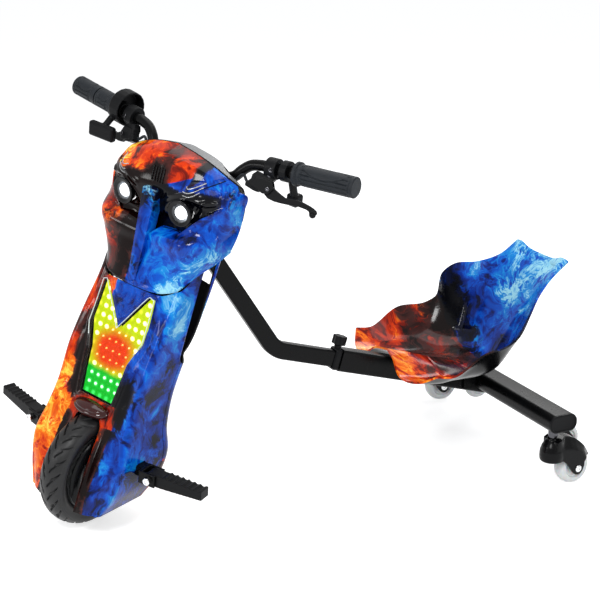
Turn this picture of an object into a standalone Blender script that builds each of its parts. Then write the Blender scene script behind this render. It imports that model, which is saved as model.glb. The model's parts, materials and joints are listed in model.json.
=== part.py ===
# Child's electric drift trike: one driven front wheel in a raked fork, a moulded fairing with a
# hooded head and a Y-shaped lamp, a bent main tube that telescopes into the rear frame, a low
# bucket seat and swivel casters under the crossbar.
#
# Metres, +Z up, -Y forward, +X to the rider's left. Every piece is drawn with the front wheel
# straight ahead and the casters trailing straight back; the empties then turn each group to the
# way it stands at rest. The front wheel touches the ground at the drawing's origin, and at the
# end the whole model is shifted so that its bottom centre is the origin.

import math

import bmesh
import bpy
import numpy as np
from mathutils import Matrix, Quaternion, Vector

# Fits between pieces
FIT = 0.0003            # two faces that touch
RUNNING = 0.0008        # a face that slides or turns on another
SEAM = 0.0010           # parting line between two mouldings

# Front wheel
WHEEL_RADIUS = 0.100
WHEEL_WIDTH = 0.050
RIM_RADIUS = 0.0690
HUB_HALF_WIDTH = 0.0235
COVER_RADIUS = 0.0678
COVER_FACE = 0.0290
FRONT_AXLE_RADIUS = 0.0060
NUT_RADIUS = 0.0105
NUT_HEIGHT = 0.0080

# Steering
RAKE = math.radians(20.0)
REST_STEER = math.radians(27.1)
FORK_GAP = 0.0345       # inside faces of the legs from the middle plane
FORK_LEG = 0.0060
FORK_LEG_DEPTH = 0.0260
CROWN_LOW = 0.1150      # along the steering axis from the wheel's centre
CROWN_HEIGHT = 0.0180
NECK_RADIUS = 0.0150
STEERER_RADIUS = 0.0110
HEAD_TUBE_LOW = 0.3960
HEAD_TUBE_LENGTH = 0.1000
HEAD_TUBE_RADIUS = 0.0190
HEAD_TUBE_BORE = 0.0150
BEARING_HEIGHT = 0.0110
STEERER_TOP = 0.5300
STEM = (0.036, 0.050, 0.034)
STEM_AT = (0.0120, 0.5170)
PLATE_OFFSET = 0.0150
PLATE_LOW = 0.1560
PLATE_HIGH = 0.3780
PLATE_HALF_WIDTH = 0.0430
PLATE_THICKNESS = 0.0030
SPREADER_AT = 0.1700
SPREADER = (0.012, 0.016)
SPREADER_GAP = 0.0010

BATTERY = (0.110, 0.030, 0.140)
BATTERY_AT = 0.2340
CONTROLLER = (0.078, 0.022, 0.062)
CONTROLLER_AT = 0.3420

# Handlebar and what it carries
BAR_RADIUS = 0.0090
BAR_ROUTE = (
    (0.0000, 0.2015, 0.5850),
    (0.0240, 0.2015, 0.5850),
    (0.0480, 0.2015, 0.5850),
    (0.0740, 0.2015, 0.5860),
    (0.0885, 0.2035, 0.5930),
    (0.0985, 0.2085, 0.6050),
    (0.1110, 0.2130, 0.6150),
    (0.1300, 0.2162, 0.6202),
)
BAR_HOLE_RADIUS = 0.0195
BAR_END = (0.2960, 0.2354, 0.6313)
GRIP_RADIUS = 0.0170
GRIP_LENGTH = 0.1060
GRIP_OVERHANG = 0.0030
GRIP_COLLAR_RADIUS = 0.0195
TWIST_LENGTH = 0.0460
THROTTLE_RADIUS = 0.0300
THROTTLE_DEPTH = 0.0270
THROTTLE_OFFSET = (0.0, 0.0050, 0.0040)
THROTTLE_BOX = (0.0560, 0.0130, 0.0260)
THROTTLE_BOX_AT = (-0.1920, 0.1870, 0.5890)
CLAMP_X = 0.1520
CLAMP_RADIUS = 0.0165
CLAMP_WIDTH = 0.0150
LEVER_PIVOT = (0.1550, 0.2060, 0.5900)
LEVER_ROUTE = ((0.0, 0.0, 0.0), (0.022, 0.003, -0.003), (0.048, 0.012, -0.013), (0.074, 0.020, -0.024))
LEVER_RADIUS = 0.0048
LEVER_BALL = 0.0068
BARREL_END = (0.1275, 0.1990, 0.5925)
BARREL_RADIUS = 0.0060
CABLE_RADIUS = 0.0024
CABLE_BESIDE = 0.0140
SWITCH_X = 0.1760
SWITCH_RADIUS = 0.0170
SWITCH_WIDTH = 0.0120
SWITCH_DROP = 0.0430
BUTTON_RADIUS = 0.0055
BUTTON_PROUD = 0.0025

# Fairing
SHELL = 0.0030
SIDE_CORNER = 0.0120
COLUMN_TOP = 0.5000
FACE_CROWN = 5          # how late the front face falls away to its sides
FACE_SHARES = (0.0, 0.42, 0.70, 0.88, 1.0)
LENS_SHARES = (0.0, 0.50, 0.80, 1.0)
# Level by level: height, middle of the front face, front of the side wall, half width,
# rear edge of the side wall, how far the rear panel crowns behind that edge
COLUMN_LEVELS = (
    (0.060, -0.072, -0.060, 0.0780, 0.060, 0.036),
    (0.100, -0.056, -0.047, 0.0950, 0.078, 0.034),
    (0.140, -0.037, -0.037, 0.1010, 0.088, 0.028),
    (0.184, -0.013, -0.017, 0.0950, 0.089, 0.020),
    (0.220, 0.001, -0.002, 0.0910, 0.098, 0.014),
    (0.297, 0.029, 0.027, 0.0910, 0.127, 0.010),
    (0.343, 0.049, 0.052, 0.0905, 0.151, 0.010),
    (0.400, 0.067, 0.087, 0.0900, 0.178, 0.008),
    (0.500, 0.098, 0.124, 0.0905, 0.214, 0.006),
)
REAR_PANEL_DEPTH = 0.0235
TUBE_NOTCH_LOW = 0.4050
TUBE_NOTCH_HALF = 0.0780
ARCH_LOW_HALF = 0.0372
ARCH_HIGH_HALF = 0.0290
ARCH_SHOULDER = 0.1835
ARCH_TOP = 0.2070
REAR_ARCH_TOP = 0.0880
REAR_ARCH_HALF = 0.0320
# Y lamp window, half outline from the foot of the stem to the tip of the arm: half width, height
LAMP_OUTER = ((0.0345, 0.2265), (0.0380, 0.2530), (0.0425, 0.2950), (0.0505, 0.3150), (0.0590, 0.3340), (0.0560, 0.4020))
LAMP_INNER = ((0.0440, 0.4020), (0.0000, 0.3403))
LENS_MARGIN = 0.0022
LENS_TOP = 0.4085
LENS_THICKNESS = 0.0022
LENS_STANDOFF = 0.0012
BOARD_BEHIND = 0.0070
BOARD_THICKNESS = 0.0020
BOARD_MARGIN = 0.0020
SLOT_TOP = (0.1635, 0.4600)
SLOT_FOOT = (0.1140, 0.3020)
SLOT_HALF_WIDTH = 0.0135
CHIN_LINE = ((0.0400, 0.4110), (0.0780, 0.4110), (0.0950, 0.4180), (0.1200, 0.4400), (0.1440, 0.4590), (0.1750, 0.4800), (0.2300, 0.4950))
# Head cowl, rib by rib from the chin over the face and the dome to the rim: each rib's points go
# from the middle plane outwards and back
HEAD_RIBS = (
    ((0, 0.0620, 0.385), (0.045, 0.066, 0.385), (0.080, 0.085, 0.385), (0.090, 0.120, 0.385), (0.091, 0.172, 0.385)),
    ((0, 0.0760, 0.430), (0.045, 0.080, 0.430), (0.082, 0.100, 0.432), (0.097, 0.140, 0.438), (0.101, 0.172, 0.445)),
    ((0, 0.0920, 0.472), (0.045, 0.090, 0.474), (0.086, 0.096, 0.476), (0.115, 0.130, 0.480), (0.119, 0.172, 0.482)),
    ((0, 0.0960, 0.494), (0.045, 0.093, 0.497), (0.086, 0.092, 0.500), (0.117, 0.122, 0.503), (0.123, 0.180, 0.505)),
    ((0, 0.1160, 0.513), (0.045, 0.116, 0.512), (0.086, 0.110, 0.519), (0.118, 0.137, 0.522), (0.125, 0.184, 0.522)),
    ((0, 0.1140, 0.545), (0.045, 0.110, 0.545), (0.086, 0.116, 0.547), (0.119, 0.146, 0.547), (0.126, 0.187, 0.546)),
    ((0, 0.1120, 0.573), (0.045, 0.110, 0.575), (0.085, 0.120, 0.576), (0.117, 0.148, 0.572), (0.128, 0.189, 0.574)),
    ((0, 0.1210, 0.596), (0.045, 0.124, 0.596), (0.084, 0.138, 0.590), (0.108, 0.158, 0.583), (0.120, 0.178, 0.582)),
    ((0, 0.1340, 0.617), (0.045, 0.137, 0.613), (0.081, 0.149, 0.604), (0.103, 0.163, 0.594), (0.117, 0.178, 0.586)),
    ((0, 0.1640, 0.629), (0.045, 0.163, 0.622), (0.078, 0.167, 0.610), (0.099, 0.172, 0.599), (0.115, 0.180, 0.588)),
)
DASH_RIBS = (
    ((0, 0.1658, 0.6296), (0.045, 0.1650, 0.6228), (0.078, 0.1695, 0.6110), (0.099, 0.1750, 0.6000), (0.115, 0.1835, 0.5888)),
    ((0, 0.1840, 0.6250), (0.045, 0.1820, 0.6180), (0.080, 0.1830, 0.6060), (0.102, 0.1860, 0.5950), (0.117, 0.1900, 0.5840)),
    ((0, 0.2160, 0.6080), (0.045, 0.2140, 0.6020), (0.082, 0.2090, 0.5900), (0.105, 0.2020, 0.5780), (0.119, 0.1950, 0.5700)),
    ((0, 0.2340, 0.5750), (0.045, 0.2320, 0.5700), (0.080, 0.2240, 0.5600), (0.104, 0.2120, 0.5520), (0.119, 0.1980, 0.5480)),
    ((0, 0.2340, 0.5400), (0.045, 0.2320, 0.5370), (0.078, 0.2240, 0.5320), (0.102, 0.2100, 0.5280), (0.118, 0.1960, 0.5260)),
)
FIN_LOW = (0.0700, 0.4180)
FIN_HIGH = (0.1010, 0.5680)
FIN_LOW_HALF = 0.0080
FIN_HIGH_HALF = 0.0145
FIN_DEPTH = 0.0240
POD = (0.0615, 0.1060, 0.5430)
POD_WAY = (0.10, -1.0, -0.06)
POD_RADIUS = 0.0240
POD_DEPTH = 0.0200
LED_RADIUS = 0.0110
LED_HEIGHT = 0.0040
NOSE = (0.0000, -0.0010, 0.2105)
NOSE_RADIUS = (0.0370, 0.0220, 0.0130)

# Foot pegs
PEG_PIVOT = (0.1327, 0.0090, 0.1370)
PEG_TIP_X = 0.2298
PEG_RISE = 0.0050
PEG_SWEEP = 0.0160
PEG_ROOT_HALF = 0.0110
PEG_TIP_HALF = 0.0075
PEG_HALF_DEPTH = 0.0110
PEG_TEETH = 7
PEG_TOOTH = 0.0024
PEG_ARM = (0.0780, 0.0200, 0.0180)
PEG_ARM_Y = 0.0120
EAR_THICKNESS = 0.0035
BRACKET_HALF_HEIGHT = 0.0110

# Frame
MAIN_TOP = (0.1580, 0.5350)
MAIN_BEND = (0.3366, 0.2515)
MAIN_REAR = (0.7665, 0.1210)
MAIN_BEND_RADIUS = 0.0500
MAIN_HEIGHT = 0.0300
MAIN_WIDTH = 0.0200
MAIN_INSERT = 0.1700    # how far the main tube reaches into the sleeve
SLEEVE_START = 0.4610
SLEEVE_HEIGHT = 0.0400
SLEEVE_WIDTH = 0.0300
COLLAR_LENGTH = 0.0140
COLLAR_PROUD = 0.0020
KNOB_RADIUS = 0.0130
KNOB_HEIGHT = 0.0160
KNOB_BEHIND = 0.0180
CROSS_Y = 0.7665
CROSS_Z = 0.1285
CROSS_DEPTH = 0.0550
CROSS_HEIGHT = 0.0320
CROSS_HALF_LENGTH = 0.2542
CROSS_WALL = 0.0025
CAP_THICKNESS = 0.0040
CAP_PLUG = 0.0120

# Seat, rib by rib from the front lip over the pan and up the back
SEAT_WALL = 0.0035
SEAT_RIBS = (
    ((0, 0.559, 0.2140), (0.030, 0.553, 0.209), (0.065, 0.547, 0.187), (0.118, 0.558, 0.190), (0.147, 0.575, 0.207)),
    ((0, 0.600, 0.2010), (0.030, 0.598, 0.190), (0.065, 0.596, 0.175), (0.118, 0.600, 0.184), (0.149, 0.606, 0.203)),
    ((0, 0.655, 0.1830), (0.030, 0.655, 0.178), (0.065, 0.656, 0.168), (0.118, 0.660, 0.188), (0.152, 0.668, 0.235)),
    ((0, 0.715, 0.1730), (0.030, 0.715, 0.171), (0.065, 0.715, 0.169), (0.113, 0.718, 0.192), (0.142, 0.724, 0.240)),
    ((0, 0.765, 0.1810), (0.030, 0.764, 0.181), (0.062, 0.757, 0.186), (0.106, 0.745, 0.212), (0.1395, 0.742, 0.248)),
    ((0, 0.797, 0.2180), (0.030, 0.795, 0.219), (0.060, 0.787, 0.224), (0.102, 0.771, 0.246), (0.146, 0.764, 0.294)),
    ((0, 0.815, 0.2500), (0.030, 0.813, 0.251), (0.060, 0.807, 0.256), (0.096, 0.794, 0.276), (0.136, 0.780, 0.309)),
    ((0, 0.838, 0.2900), (0.030, 0.837, 0.290), (0.057, 0.833, 0.293), (0.082, 0.826, 0.303), (0.1055, 0.8146, 0.3177)),
    ((0, 0.862, 0.3250), (0.028, 0.861, 0.325), (0.050, 0.859, 0.327), (0.070, 0.855, 0.330), (0.0845, 0.8500, 0.3320)),
    ((0, 0.888, 0.3480), (0.028, 0.887, 0.349), (0.045, 0.886, 0.352), (0.064, 0.885, 0.3585), (0.0805, 0.8860, 0.3560)),
)
SEAT_PLATE = (0.110, 0.026, 0.003)
SEAT_PLATE_Y = 0.7250
SEAT_PLATE_TOP = 0.1649
SEAT_LEG = 0.0040
SEAT_LEG_LOW = 0.1200

# Casters
CASTER_X = 0.2255
CASTER_Y = 0.7655
CASTER_RADIUS = 0.0315
REAR_GROUND = 0.0008    # the leaning front tyre touches this much above the drawing origin
CASTER_WIDTH = 0.0270
CASTER_TRAIL = 0.0436
CASTER_TURN = {"left": math.radians(3.5), "right": math.radians(-7.1)}
STEM_RADIUS = 0.0050
STEM_TOP = 0.1250
STEM_FOOT = 0.0560
STEM_NUT_RADIUS = 0.0095
HOUSING_RADIUS = 0.0215
HOUSING_LOW = 0.0500
HOUSING_HIGH = 0.0770
HOOD_HALF_WIDTH = 0.0205
HOOD_TAIL = 0.0800
CASTER_AXLE_RADIUS = 0.0040

# Anti-tip rollers
ROLLER_X = 0.1475
ROLLER_Y = 0.8490
ROLLER_Z = 0.0490
ROLLER_RADIUS = 0.0260
ROLLER_WIDTH = 0.0220
ROLLER_CHEEK = 0.0030

COLOURS = {
    "black_paint": ((0.012, 0.013, 0.014), 0.35, 0.0),
    "black_plastic": ((0.020, 0.021, 0.022), 0.50, 0.0),
    "rubber": ((0.016, 0.016, 0.017), 0.75, 0.0),
    "tyre": ((0.022, 0.022, 0.024), 0.80, 0.0),
    "steel": ((0.560, 0.570, 0.580), 0.30, 1.0),
    "print": ((0.020, 0.110, 0.520), 0.15, 0.0),
    "print_fire": ((0.600, 0.080, 0.010), 0.15, 0.0),
    "clear": ((0.850, 0.880, 0.900), 0.08, 0.0),
    "lamp": ((0.550, 0.850, 0.050), 0.40, 0.0),
    "lamp_white": ((0.950, 0.960, 1.000), 0.30, 0.0),
    "reflector": ((0.700, 0.720, 0.740), 0.12, 1.0),
    "urethane": ((0.760, 0.770, 0.770), 0.35, 0.0),
    "grey_panel": ((0.380, 0.390, 0.400), 0.45, 0.0),
    "battery_wrap": ((0.050, 0.090, 0.200), 0.45, 0.0),
    "aluminium": ((0.420, 0.430, 0.440), 0.40, 1.0),
}

HUB = Vector((0.0, 0.0, WHEEL_RADIUS))
STEER_UP = Vector((0.0, math.sin(RAKE), math.cos(RAKE)))
STEER_BACK = Vector((0.0, math.cos(RAKE), -math.sin(RAKE)))
REAR_WAY = Vector((0.0, MAIN_REAR[0] - MAIN_BEND[0], MAIN_REAR[1] - MAIN_BEND[1])).normalized()
SLEEVE_FROM = Vector((0.0, SLEEVE_START, MAIN_BEND[1] + (SLEEVE_START - MAIN_BEND[0]) * REAR_WAY.z / REAR_WAY.y))
SIDES = {"left": 1, "right": -1}
BARREL_WAY = (Vector(BARREL_END) - Vector(LEVER_PIVOT)).normalized()


def clear_scene():
    for old in list(bpy.data.objects):
        bpy.data.objects.remove(old, do_unlink=True)


clear_scene()
PARTS = bpy.data.collections.new("drift_trike")
CUTTERS = bpy.data.collections.new("cutters")
bpy.context.scene.collection.children.link(PARTS)
bpy.context.scene.collection.children.link(CUTTERS)


# Helpers: materials, groups and placing

def material(name):
    found = bpy.data.materials.get(name)
    if found:
        return found
    colour, roughness, metallic = COLOURS[name]
    made = bpy.data.materials.new(name)
    made.use_nodes = True
    shader = made.node_tree.nodes["Principled BSDF"]
    shader.inputs["Base Color"].default_value = (*colour, 1.0)
    shader.inputs["Roughness"].default_value = roughness
    shader.inputs["Metallic"].default_value = metallic
    return made


PIVOTS = {}


def group(name, pivot, parent=None, turn=None):
    # an empty on a joint's axis; what hangs on it is drawn at its straight-ahead place
    empty = bpy.data.objects.new(name, None)
    PARTS.objects.link(empty)
    pivot = Vector(pivot)
    PIVOTS[name] = pivot
    empty.location = pivot
    if parent:
        empty.parent = parent
        empty.location = pivot - PIVOTS[parent.name]
    if turn:
        empty.rotation_mode = "QUATERNION"
        empty.rotation_quaternion = turn
    return empty


def hang(piece, name, parent, finish):
    # names a piece, gives it its material and its place in a group
    piece.name = name
    piece.data.name = name
    piece.data.materials.clear()
    piece.data.materials.append(material(finish))
    piece.location = piece.location - PIVOTS[parent.name]
    piece.parent = parent
    if piece.type == "MESH":
        piece.data.shade_smooth()
        piece.data.set_sharp_from_angle(angle=math.radians(35))
    return piece


def mirrored(point, side):
    return Vector((point[0] * side, point[1], point[2]))


# Helpers: shapes

def new_object(name, mesh):
    made = bpy.data.objects.new(name, mesh)
    PARTS.objects.link(made)
    return made


def mesh_from(shape, name):
    mesh = bpy.data.meshes.new(name)
    shape.to_mesh(mesh)
    shape.free()
    return mesh


def box(name, size, centre=(0, 0, 0), turn=None):
    shape = bmesh.new()
    bmesh.ops.create_cube(shape, size=1.0)
    bmesh.ops.scale(shape, vec=Vector(size), verts=shape.verts)
    made = new_object(name, mesh_from(shape, name))
    made.location = centre
    if turn:
        made.rotation_mode = "QUATERNION"
        made.rotation_quaternion = turn
    return made


def rod(name, start, end, radius, end_radius=None, segments=16):
    # a round bar, or a cone, between two points
    start = Vector(start)
    end = Vector(end)
    shape = bmesh.new()
    bmesh.ops.create_cone(shape, cap_ends=True, cap_tris=False, segments=segments, radius1=radius,
                          radius2=radius if end_radius is None else end_radius, depth=(end - start).length)
    made = new_object(name, mesh_from(shape, name))
    made.location = (start + end) / 2
    made.rotation_mode = "QUATERNION"
    made.rotation_quaternion = Vector((0, 0, 1)).rotation_difference(end - start)
    return made


def ball(name, centre, radii, segments=16, rings=10):
    shape = bmesh.new()
    bmesh.ops.create_uvsphere(shape, u_segments=segments, v_segments=rings, radius=1.0)
    bmesh.ops.scale(shape, vec=Vector(radii), verts=shape.verts)
    made = new_object(name, mesh_from(shape, name))
    made.location = centre
    return made


def turned(name, profile, centre, way, steps=24, closed=False):
    # a lathe shape: profile points are (radius, distance along the axis), top to bottom outside
    mesh = bpy.data.meshes.new(name)
    points = [(radius, 0.0, along) for radius, along in profile]
    edges = [(i, i + 1) for i in range(len(points) - 1)]
    if closed:
        edges.append((len(points) - 1, 0))
    mesh.from_pydata(points, edges, [])
    made = new_object(name, mesh)
    screw = made.modifiers.new("turn", "SCREW")
    screw.axis = "Z"
    screw.angle = math.tau
    screw.steps = steps
    screw.render_steps = steps
    screw.use_merge_vertices = True
    screw.merge_threshold = 0.00001
    made.location = centre
    made.rotation_mode = "QUATERNION"
    made.rotation_quaternion = Vector((0, 0, 1)).rotation_difference(Vector(way))
    return made


def tube(name, points, radius, sides=2):
    curve = bpy.data.curves.new(name, "CURVE")
    curve.dimensions = "3D"
    curve.bevel_depth = radius
    curve.bevel_resolution = sides
    curve.use_fill_caps = True
    spline = curve.splines.new("POLY")
    spline.points.add(len(points) - 1)
    for point, place in zip(spline.points, points):
        point.co = (*place, 1.0)
    return new_object(name, curve)


def plate(name, outlines, half_thickness, plane="YZ"):
    # a flat outline with thickness; the first outline is the edge and the others are holes
    curve = bpy.data.curves.new(name, "CURVE")
    curve.dimensions = "2D"
    curve.fill_mode = "BOTH"
    curve.extrude = half_thickness
    for outline in outlines:
        spline = curve.splines.new("POLY")
        spline.points.add(len(outline) - 1)
        for point, place in zip(spline.points, outline):
            point.co = (place[0], place[1], 0.0, 1.0)
        spline.use_cyclic_u = True
    made = new_object(name, curve)
    if plane == "YZ":
        made.matrix_world = Matrix(((0, 0, 1, 0), (1, 0, 0, 0), (0, 1, 0, 0), (0, 0, 0, 1)))
    elif plane == "XZ":
        made.matrix_world = Matrix(((1, 0, 0, 0), (0, 0, -1, 0), (0, 1, 0, 0), (0, 0, 0, 1)))
    return made


def solid(piece):
    # the piece's evaluated shape as a plain welded mesh, placed as drawn
    bpy.context.view_layer.update()
    depsgraph = bpy.context.evaluated_depsgraph_get()
    mesh = bpy.data.meshes.new_from_object(piece.evaluated_get(depsgraph), depsgraph=depsgraph)
    shape = bmesh.new()
    shape.from_mesh(mesh)
    bmesh.ops.remove_doubles(shape, verts=shape.verts, dist=0.00002)
    bmesh.ops.transform(shape, matrix=piece.matrix_world, verts=shape.verts)
    bmesh.ops.recalc_face_normals(shape, faces=shape.faces)
    shape.to_mesh(mesh)
    shape.free()
    made = new_object(piece.name, mesh)
    name = piece.name
    bpy.data.objects.remove(piece, do_unlink=True)
    made.name = name
    return made


def combine(piece, other, operation):
    other = solid(other)
    cut = piece.modifiers.new(operation.lower(), "BOOLEAN")
    cut.operation = operation
    cut.object = other
    cut.solver = "EXACT"
    PARTS.objects.unlink(other)
    CUTTERS.objects.link(other)
    other.hide_render = True
    other.display_type = "WIRE"
    return other


def joined(name, pieces, cutters=()):
    # welds overlapping shapes into one body, then takes the cutters out of it
    body = solid(pieces[0])
    used = [combine(body, piece, "UNION") for piece in pieces[1:]]
    used += [combine(body, cutter, "DIFFERENCE") for cutter in cutters]
    body = solid(body)
    for tool in used:
        bpy.data.objects.remove(tool, do_unlink=True)
    body.name = name
    return body


def bevelled(piece, width, segments=2, angle=40):
    edge = piece.modifiers.new("edge", "BEVEL")
    edge.width = width
    edge.segments = segments
    edge.limit_method = "ANGLE"
    edge.angle_limit = math.radians(angle)
    return piece


# Helpers: smooth curves and lofts

def through(points, count):
    # an even-stepped smooth curve through the given points
    points = np.array(points, dtype=float)
    spans = len(points) - 1
    gaps = np.linalg.norm(np.diff(points, axis=0), axis=1)
    knots = np.concatenate(([0.0], np.cumsum(gaps)))
    slopes = np.gradient(points, knots, axis=0)
    out = []
    for place in np.linspace(0.0, knots[-1], count):
        i = min(int(np.searchsorted(knots, place, side="right")) - 1, spans - 1)
        length = knots[i + 1] - knots[i]
        t = (place - knots[i]) / length
        out.append((2 * t**3 - 3 * t**2 + 1) * points[i] + (t**3 - 2 * t**2 + t) * length * slopes[i]
                   + (3 * t**2 - 2 * t**3) * points[i + 1] + (t**3 - t**2) * length * slopes[i + 1])
    return out


def grid_mesh(name, rows):
    # an open skin over rows of points
    shape = bmesh.new()
    verts = [[shape.verts.new(point) for point in row] for row in rows]
    for low, high in zip(verts, verts[1:]):
        for i in range(len(low) - 1):
            shape.faces.new((low[i], low[i + 1], high[i + 1], high[i]))
    return new_object(name, mesh_from(shape, name))


def loft(name, ribs, across, along):
    # a skin through the ribs, smooth both ways; the first point of each rib is on the middle plane
    rows = [through(rib, across) for rib in ribs]
    columns = [through([row[i] for row in rows], along) for i in range(across)]
    made = grid_mesh(name, [[columns[i][j] for i in range(across)] for j in range(along)])
    for vert in made.data.vertices:
        if abs(vert.co.x) < 1e-5:
            vert.co.x = 0.0
    return made


def mirror_and_thicken(piece, thickness, inwards, even=True):
    # the other half of a half skin, then its wall
    mirror = piece.modifiers.new("other_half", "MIRROR")
    mirror.merge_threshold = 0.00005
    wall = piece.modifiers.new("wall", "SOLIDIFY")
    wall.thickness = thickness
    wall.offset = -1.0 if inwards else 1.0
    wall.use_even_offset = even
    return solid(piece)


def level_value(height, column):
    # one measure of the column fairing at a height, eased between its levels
    heights = np.array([level[0] for level in COLUMN_LEVELS])
    values = np.array([level[column] for level in COLUMN_LEVELS])
    slopes = np.gradient(values, heights)
    i = int(np.clip(np.searchsorted(heights, height, side="right") - 1, 0, len(heights) - 2))
    span = heights[i + 1] - heights[i]
    t = (height - heights[i]) / span
    return float((2 * t**3 - 3 * t**2 + 1) * values[i] + (t**3 - 2 * t**2 + t) * span * slopes[i]
                 + (3 * t**2 - 2 * t**3) * values[i + 1] + (t**3 - t**2) * span * slopes[i + 1])


def front_y(height):
    return level_value(height, 1)


def side_y(height):
    return level_value(height, 2)


def half_width(height):
    return level_value(height, 3)


def rear_y(height):
    return level_value(height, 4)


# Groups, each on its joint's axis

root = group("trike", (0, 0, 0))
frame = group("front_frame_group", (0, 0, 0), root)
steering = group("steering_group", HUB, root, Quaternion(STEER_UP, REST_STEER))
front_wheel = group("front_wheel_group", HUB, steering)
rear = group("rear_frame_group", SLEEVE_FROM, root)


# Front wheel

def tyre_profile():
    crown = []
    half = WHEEL_WIDTH / 2
    side_height = 0.0190
    for step in range(7):
        angle = math.pi * step / 6
        crown.append((WHEEL_RADIUS - side_height + side_height * math.sin(angle), half * math.cos(angle)))
    bead = 0.0200
    return crown + [(RIM_RADIUS + 0.003, -bead), (RIM_RADIUS, -bead + 0.003), (RIM_RADIUS, bead - 0.003),
                    (RIM_RADIUS + 0.003, bead)]


def make_front_wheel():
    tyre = turned("front_tyre", tyre_profile(), HUB, (1, 0, 0), steps=32, closed=True)
    hang(tyre, "front_tyre", front_wheel, "tyre")

    seat = RIM_RADIUS - FIT
    bore = FRONT_AXLE_RADIUS + FIT
    half = HUB_HALF_WIDTH
    motor = turned("hub_motor", ((bore, half), (0.0180, half), (0.0200, half - 0.003), (seat, half - 0.003),
                                 (seat, 0.003 - half), (0.0200, 0.003 - half), (0.0180, -half), (bore, -half)),
                   HUB, (1, 0, 0), steps=24, closed=True)
    hang(motor, "hub_motor", front_wheel, "aluminium")

    for side, way in SIDES.items():
        inner = half + FIT
        cover = turned("cover", ((0.0100, COVER_FACE), (0.0520, COVER_FACE), (0.0620, COVER_FACE - 0.0015),
                                 (COVER_RADIUS, inner + 0.0010), (COVER_RADIUS, inner), (0.0100, inner)),
                       HUB, (way, 0, 0), steps=24, closed=True)
        hang(cover, side + "_hub_cover", front_wheel, "black_plastic")

    reach = FORK_GAP + FORK_LEG + NUT_HEIGHT + 0.004
    axle = rod("axle", HUB - Vector((reach, 0, 0)), HUB + Vector((reach, 0, 0)), FRONT_AXLE_RADIUS, segments=20)
    hang(axle, "front_axle", steering, "steel")
    for side, way in SIDES.items():
        start = HUB + Vector((way * (FORK_GAP + FORK_LEG + FIT), 0, 0))
        end = start + Vector((way * NUT_HEIGHT, 0, 0))
        nut = joined("nut", [rod("nut", start, end, NUT_RADIUS, segments=6)],
                     [rod("bore", start - Vector((way * 0.01, 0, 0)), end + Vector((way * 0.01, 0, 0)),
                          FRONT_AXLE_RADIUS + FIT, segments=20)])
        hang(nut, side + "_axle_nut", steering, "steel")


make_front_wheel()


# Fork, bearings and stem

LEAN = Quaternion((1, 0, 0), -RAKE)


def on_steering(up, back=0.0, across=0.0):
    # a point given by its distances along and behind the steering axis, from the wheel's centre
    return HUB + STEER_UP * up + STEER_BACK * back + Vector((across, 0, 0))


def strap_outline(start, end, half):
    # a strip between two points of a plane, round at its first end and square at the other
    start = Vector(start)
    end = Vector(end)
    way = (end - start).normalized()
    out = [end + Vector((-way[1], way[0])) * half]
    first = math.atan2(way[1], way[0]) + math.pi / 2
    out += [start + Vector((math.cos(first + math.pi * k / 8), math.sin(first + math.pi * k / 8))) * half
            for k in range(9)]
    out.append(end - Vector((-way[1], way[0])) * half)
    return [(point[0], point[1]) for point in out]


def make_fork():
    hub = (HUB.y, HUB.z)
    crown_top = on_steering(CROWN_LOW + CROWN_HEIGHT / 2)
    lip = 0.0015
    pieces = [box("crown", (2 * (FORK_GAP + FORK_LEG + lip), FORK_LEG_DEPTH + 2 * lip, CROWN_HEIGHT),
                  on_steering(CROWN_LOW + CROWN_HEIGHT / 2), LEAN)]
    for way in SIDES.values():
        outline = strap_outline(hub, (crown_top.y, crown_top.z), FORK_LEG_DEPTH / 2)
        leg = plate("leg", [outline], FORK_LEG / 2)
        leg.location.x = way * (FORK_GAP + FORK_LEG / 2)
        pieces.append(leg)
    neck_top = HEAD_TUBE_LOW - RUNNING
    pieces.append(rod("neck", on_steering(CROWN_LOW + 0.004), on_steering(neck_top), NECK_RADIUS))
    pieces.append(rod("steerer", on_steering(neck_top - 0.01), on_steering(STEERER_TOP), STEERER_RADIUS))
    pieces.append(box("carrier", (2 * PLATE_HALF_WIDTH, PLATE_THICKNESS, PLATE_HIGH - PLATE_LOW),
                      on_steering((PLATE_HIGH + PLATE_LOW) / 2, PLATE_OFFSET), LEAN))
    spreader = on_steering(SPREADER_AT)
    reach = half_width(spreader.z) - SHELL - SPREADER_GAP
    pieces.append(box("spreader", (2 * reach, *SPREADER), spreader, LEAN))
    axle_hole = rod("axle_hole", HUB - Vector((0.08, 0, 0)), HUB + Vector((0.08, 0, 0)),
                    FRONT_AXLE_RADIUS + FIT, segments=20)
    hang(joined("fork", pieces, [axle_hole]), "fork", steering, "black_paint")


def make_bearings():
    for name, low in (("lower_headset_bearing", HEAD_TUBE_LOW + FIT),
                      ("upper_headset_bearing", HEAD_TUBE_LOW + HEAD_TUBE_LENGTH - BEARING_HEIGHT)):
        outer = HEAD_TUBE_BORE - FIT
        inner = STEERER_RADIUS + FIT
        ring = turned(name, ((inner, BEARING_HEIGHT), (outer, BEARING_HEIGHT), (outer, 0.0), (inner, 0.0)),
                      on_steering(low), STEER_UP, steps=20, closed=True)
        hang(ring, name, steering, "steel")


def make_stem():
    back, up = STEM_AT
    block = bevelled(box("stem", STEM, on_steering(up, back), LEAN), 0.003, segments=1)
    bar_middle = Vector(BAR_ROUTE[0])
    cutters = [rod("steerer_bore", on_steering(up - 0.04), on_steering(up + 0.04), STEERER_RADIUS + FIT),
               rod("bar_bore", bar_middle - Vector((0.05, 0, 0)), bar_middle + Vector((0.05, 0, 0)),
                   BAR_RADIUS + FIT)]
    hang(joined("handlebar_stem", [block], cutters), "handlebar_stem", steering, "aluminium")


make_fork()
make_bearings()
make_stem()


# Battery and controller on the fork's carrier plate

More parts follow.
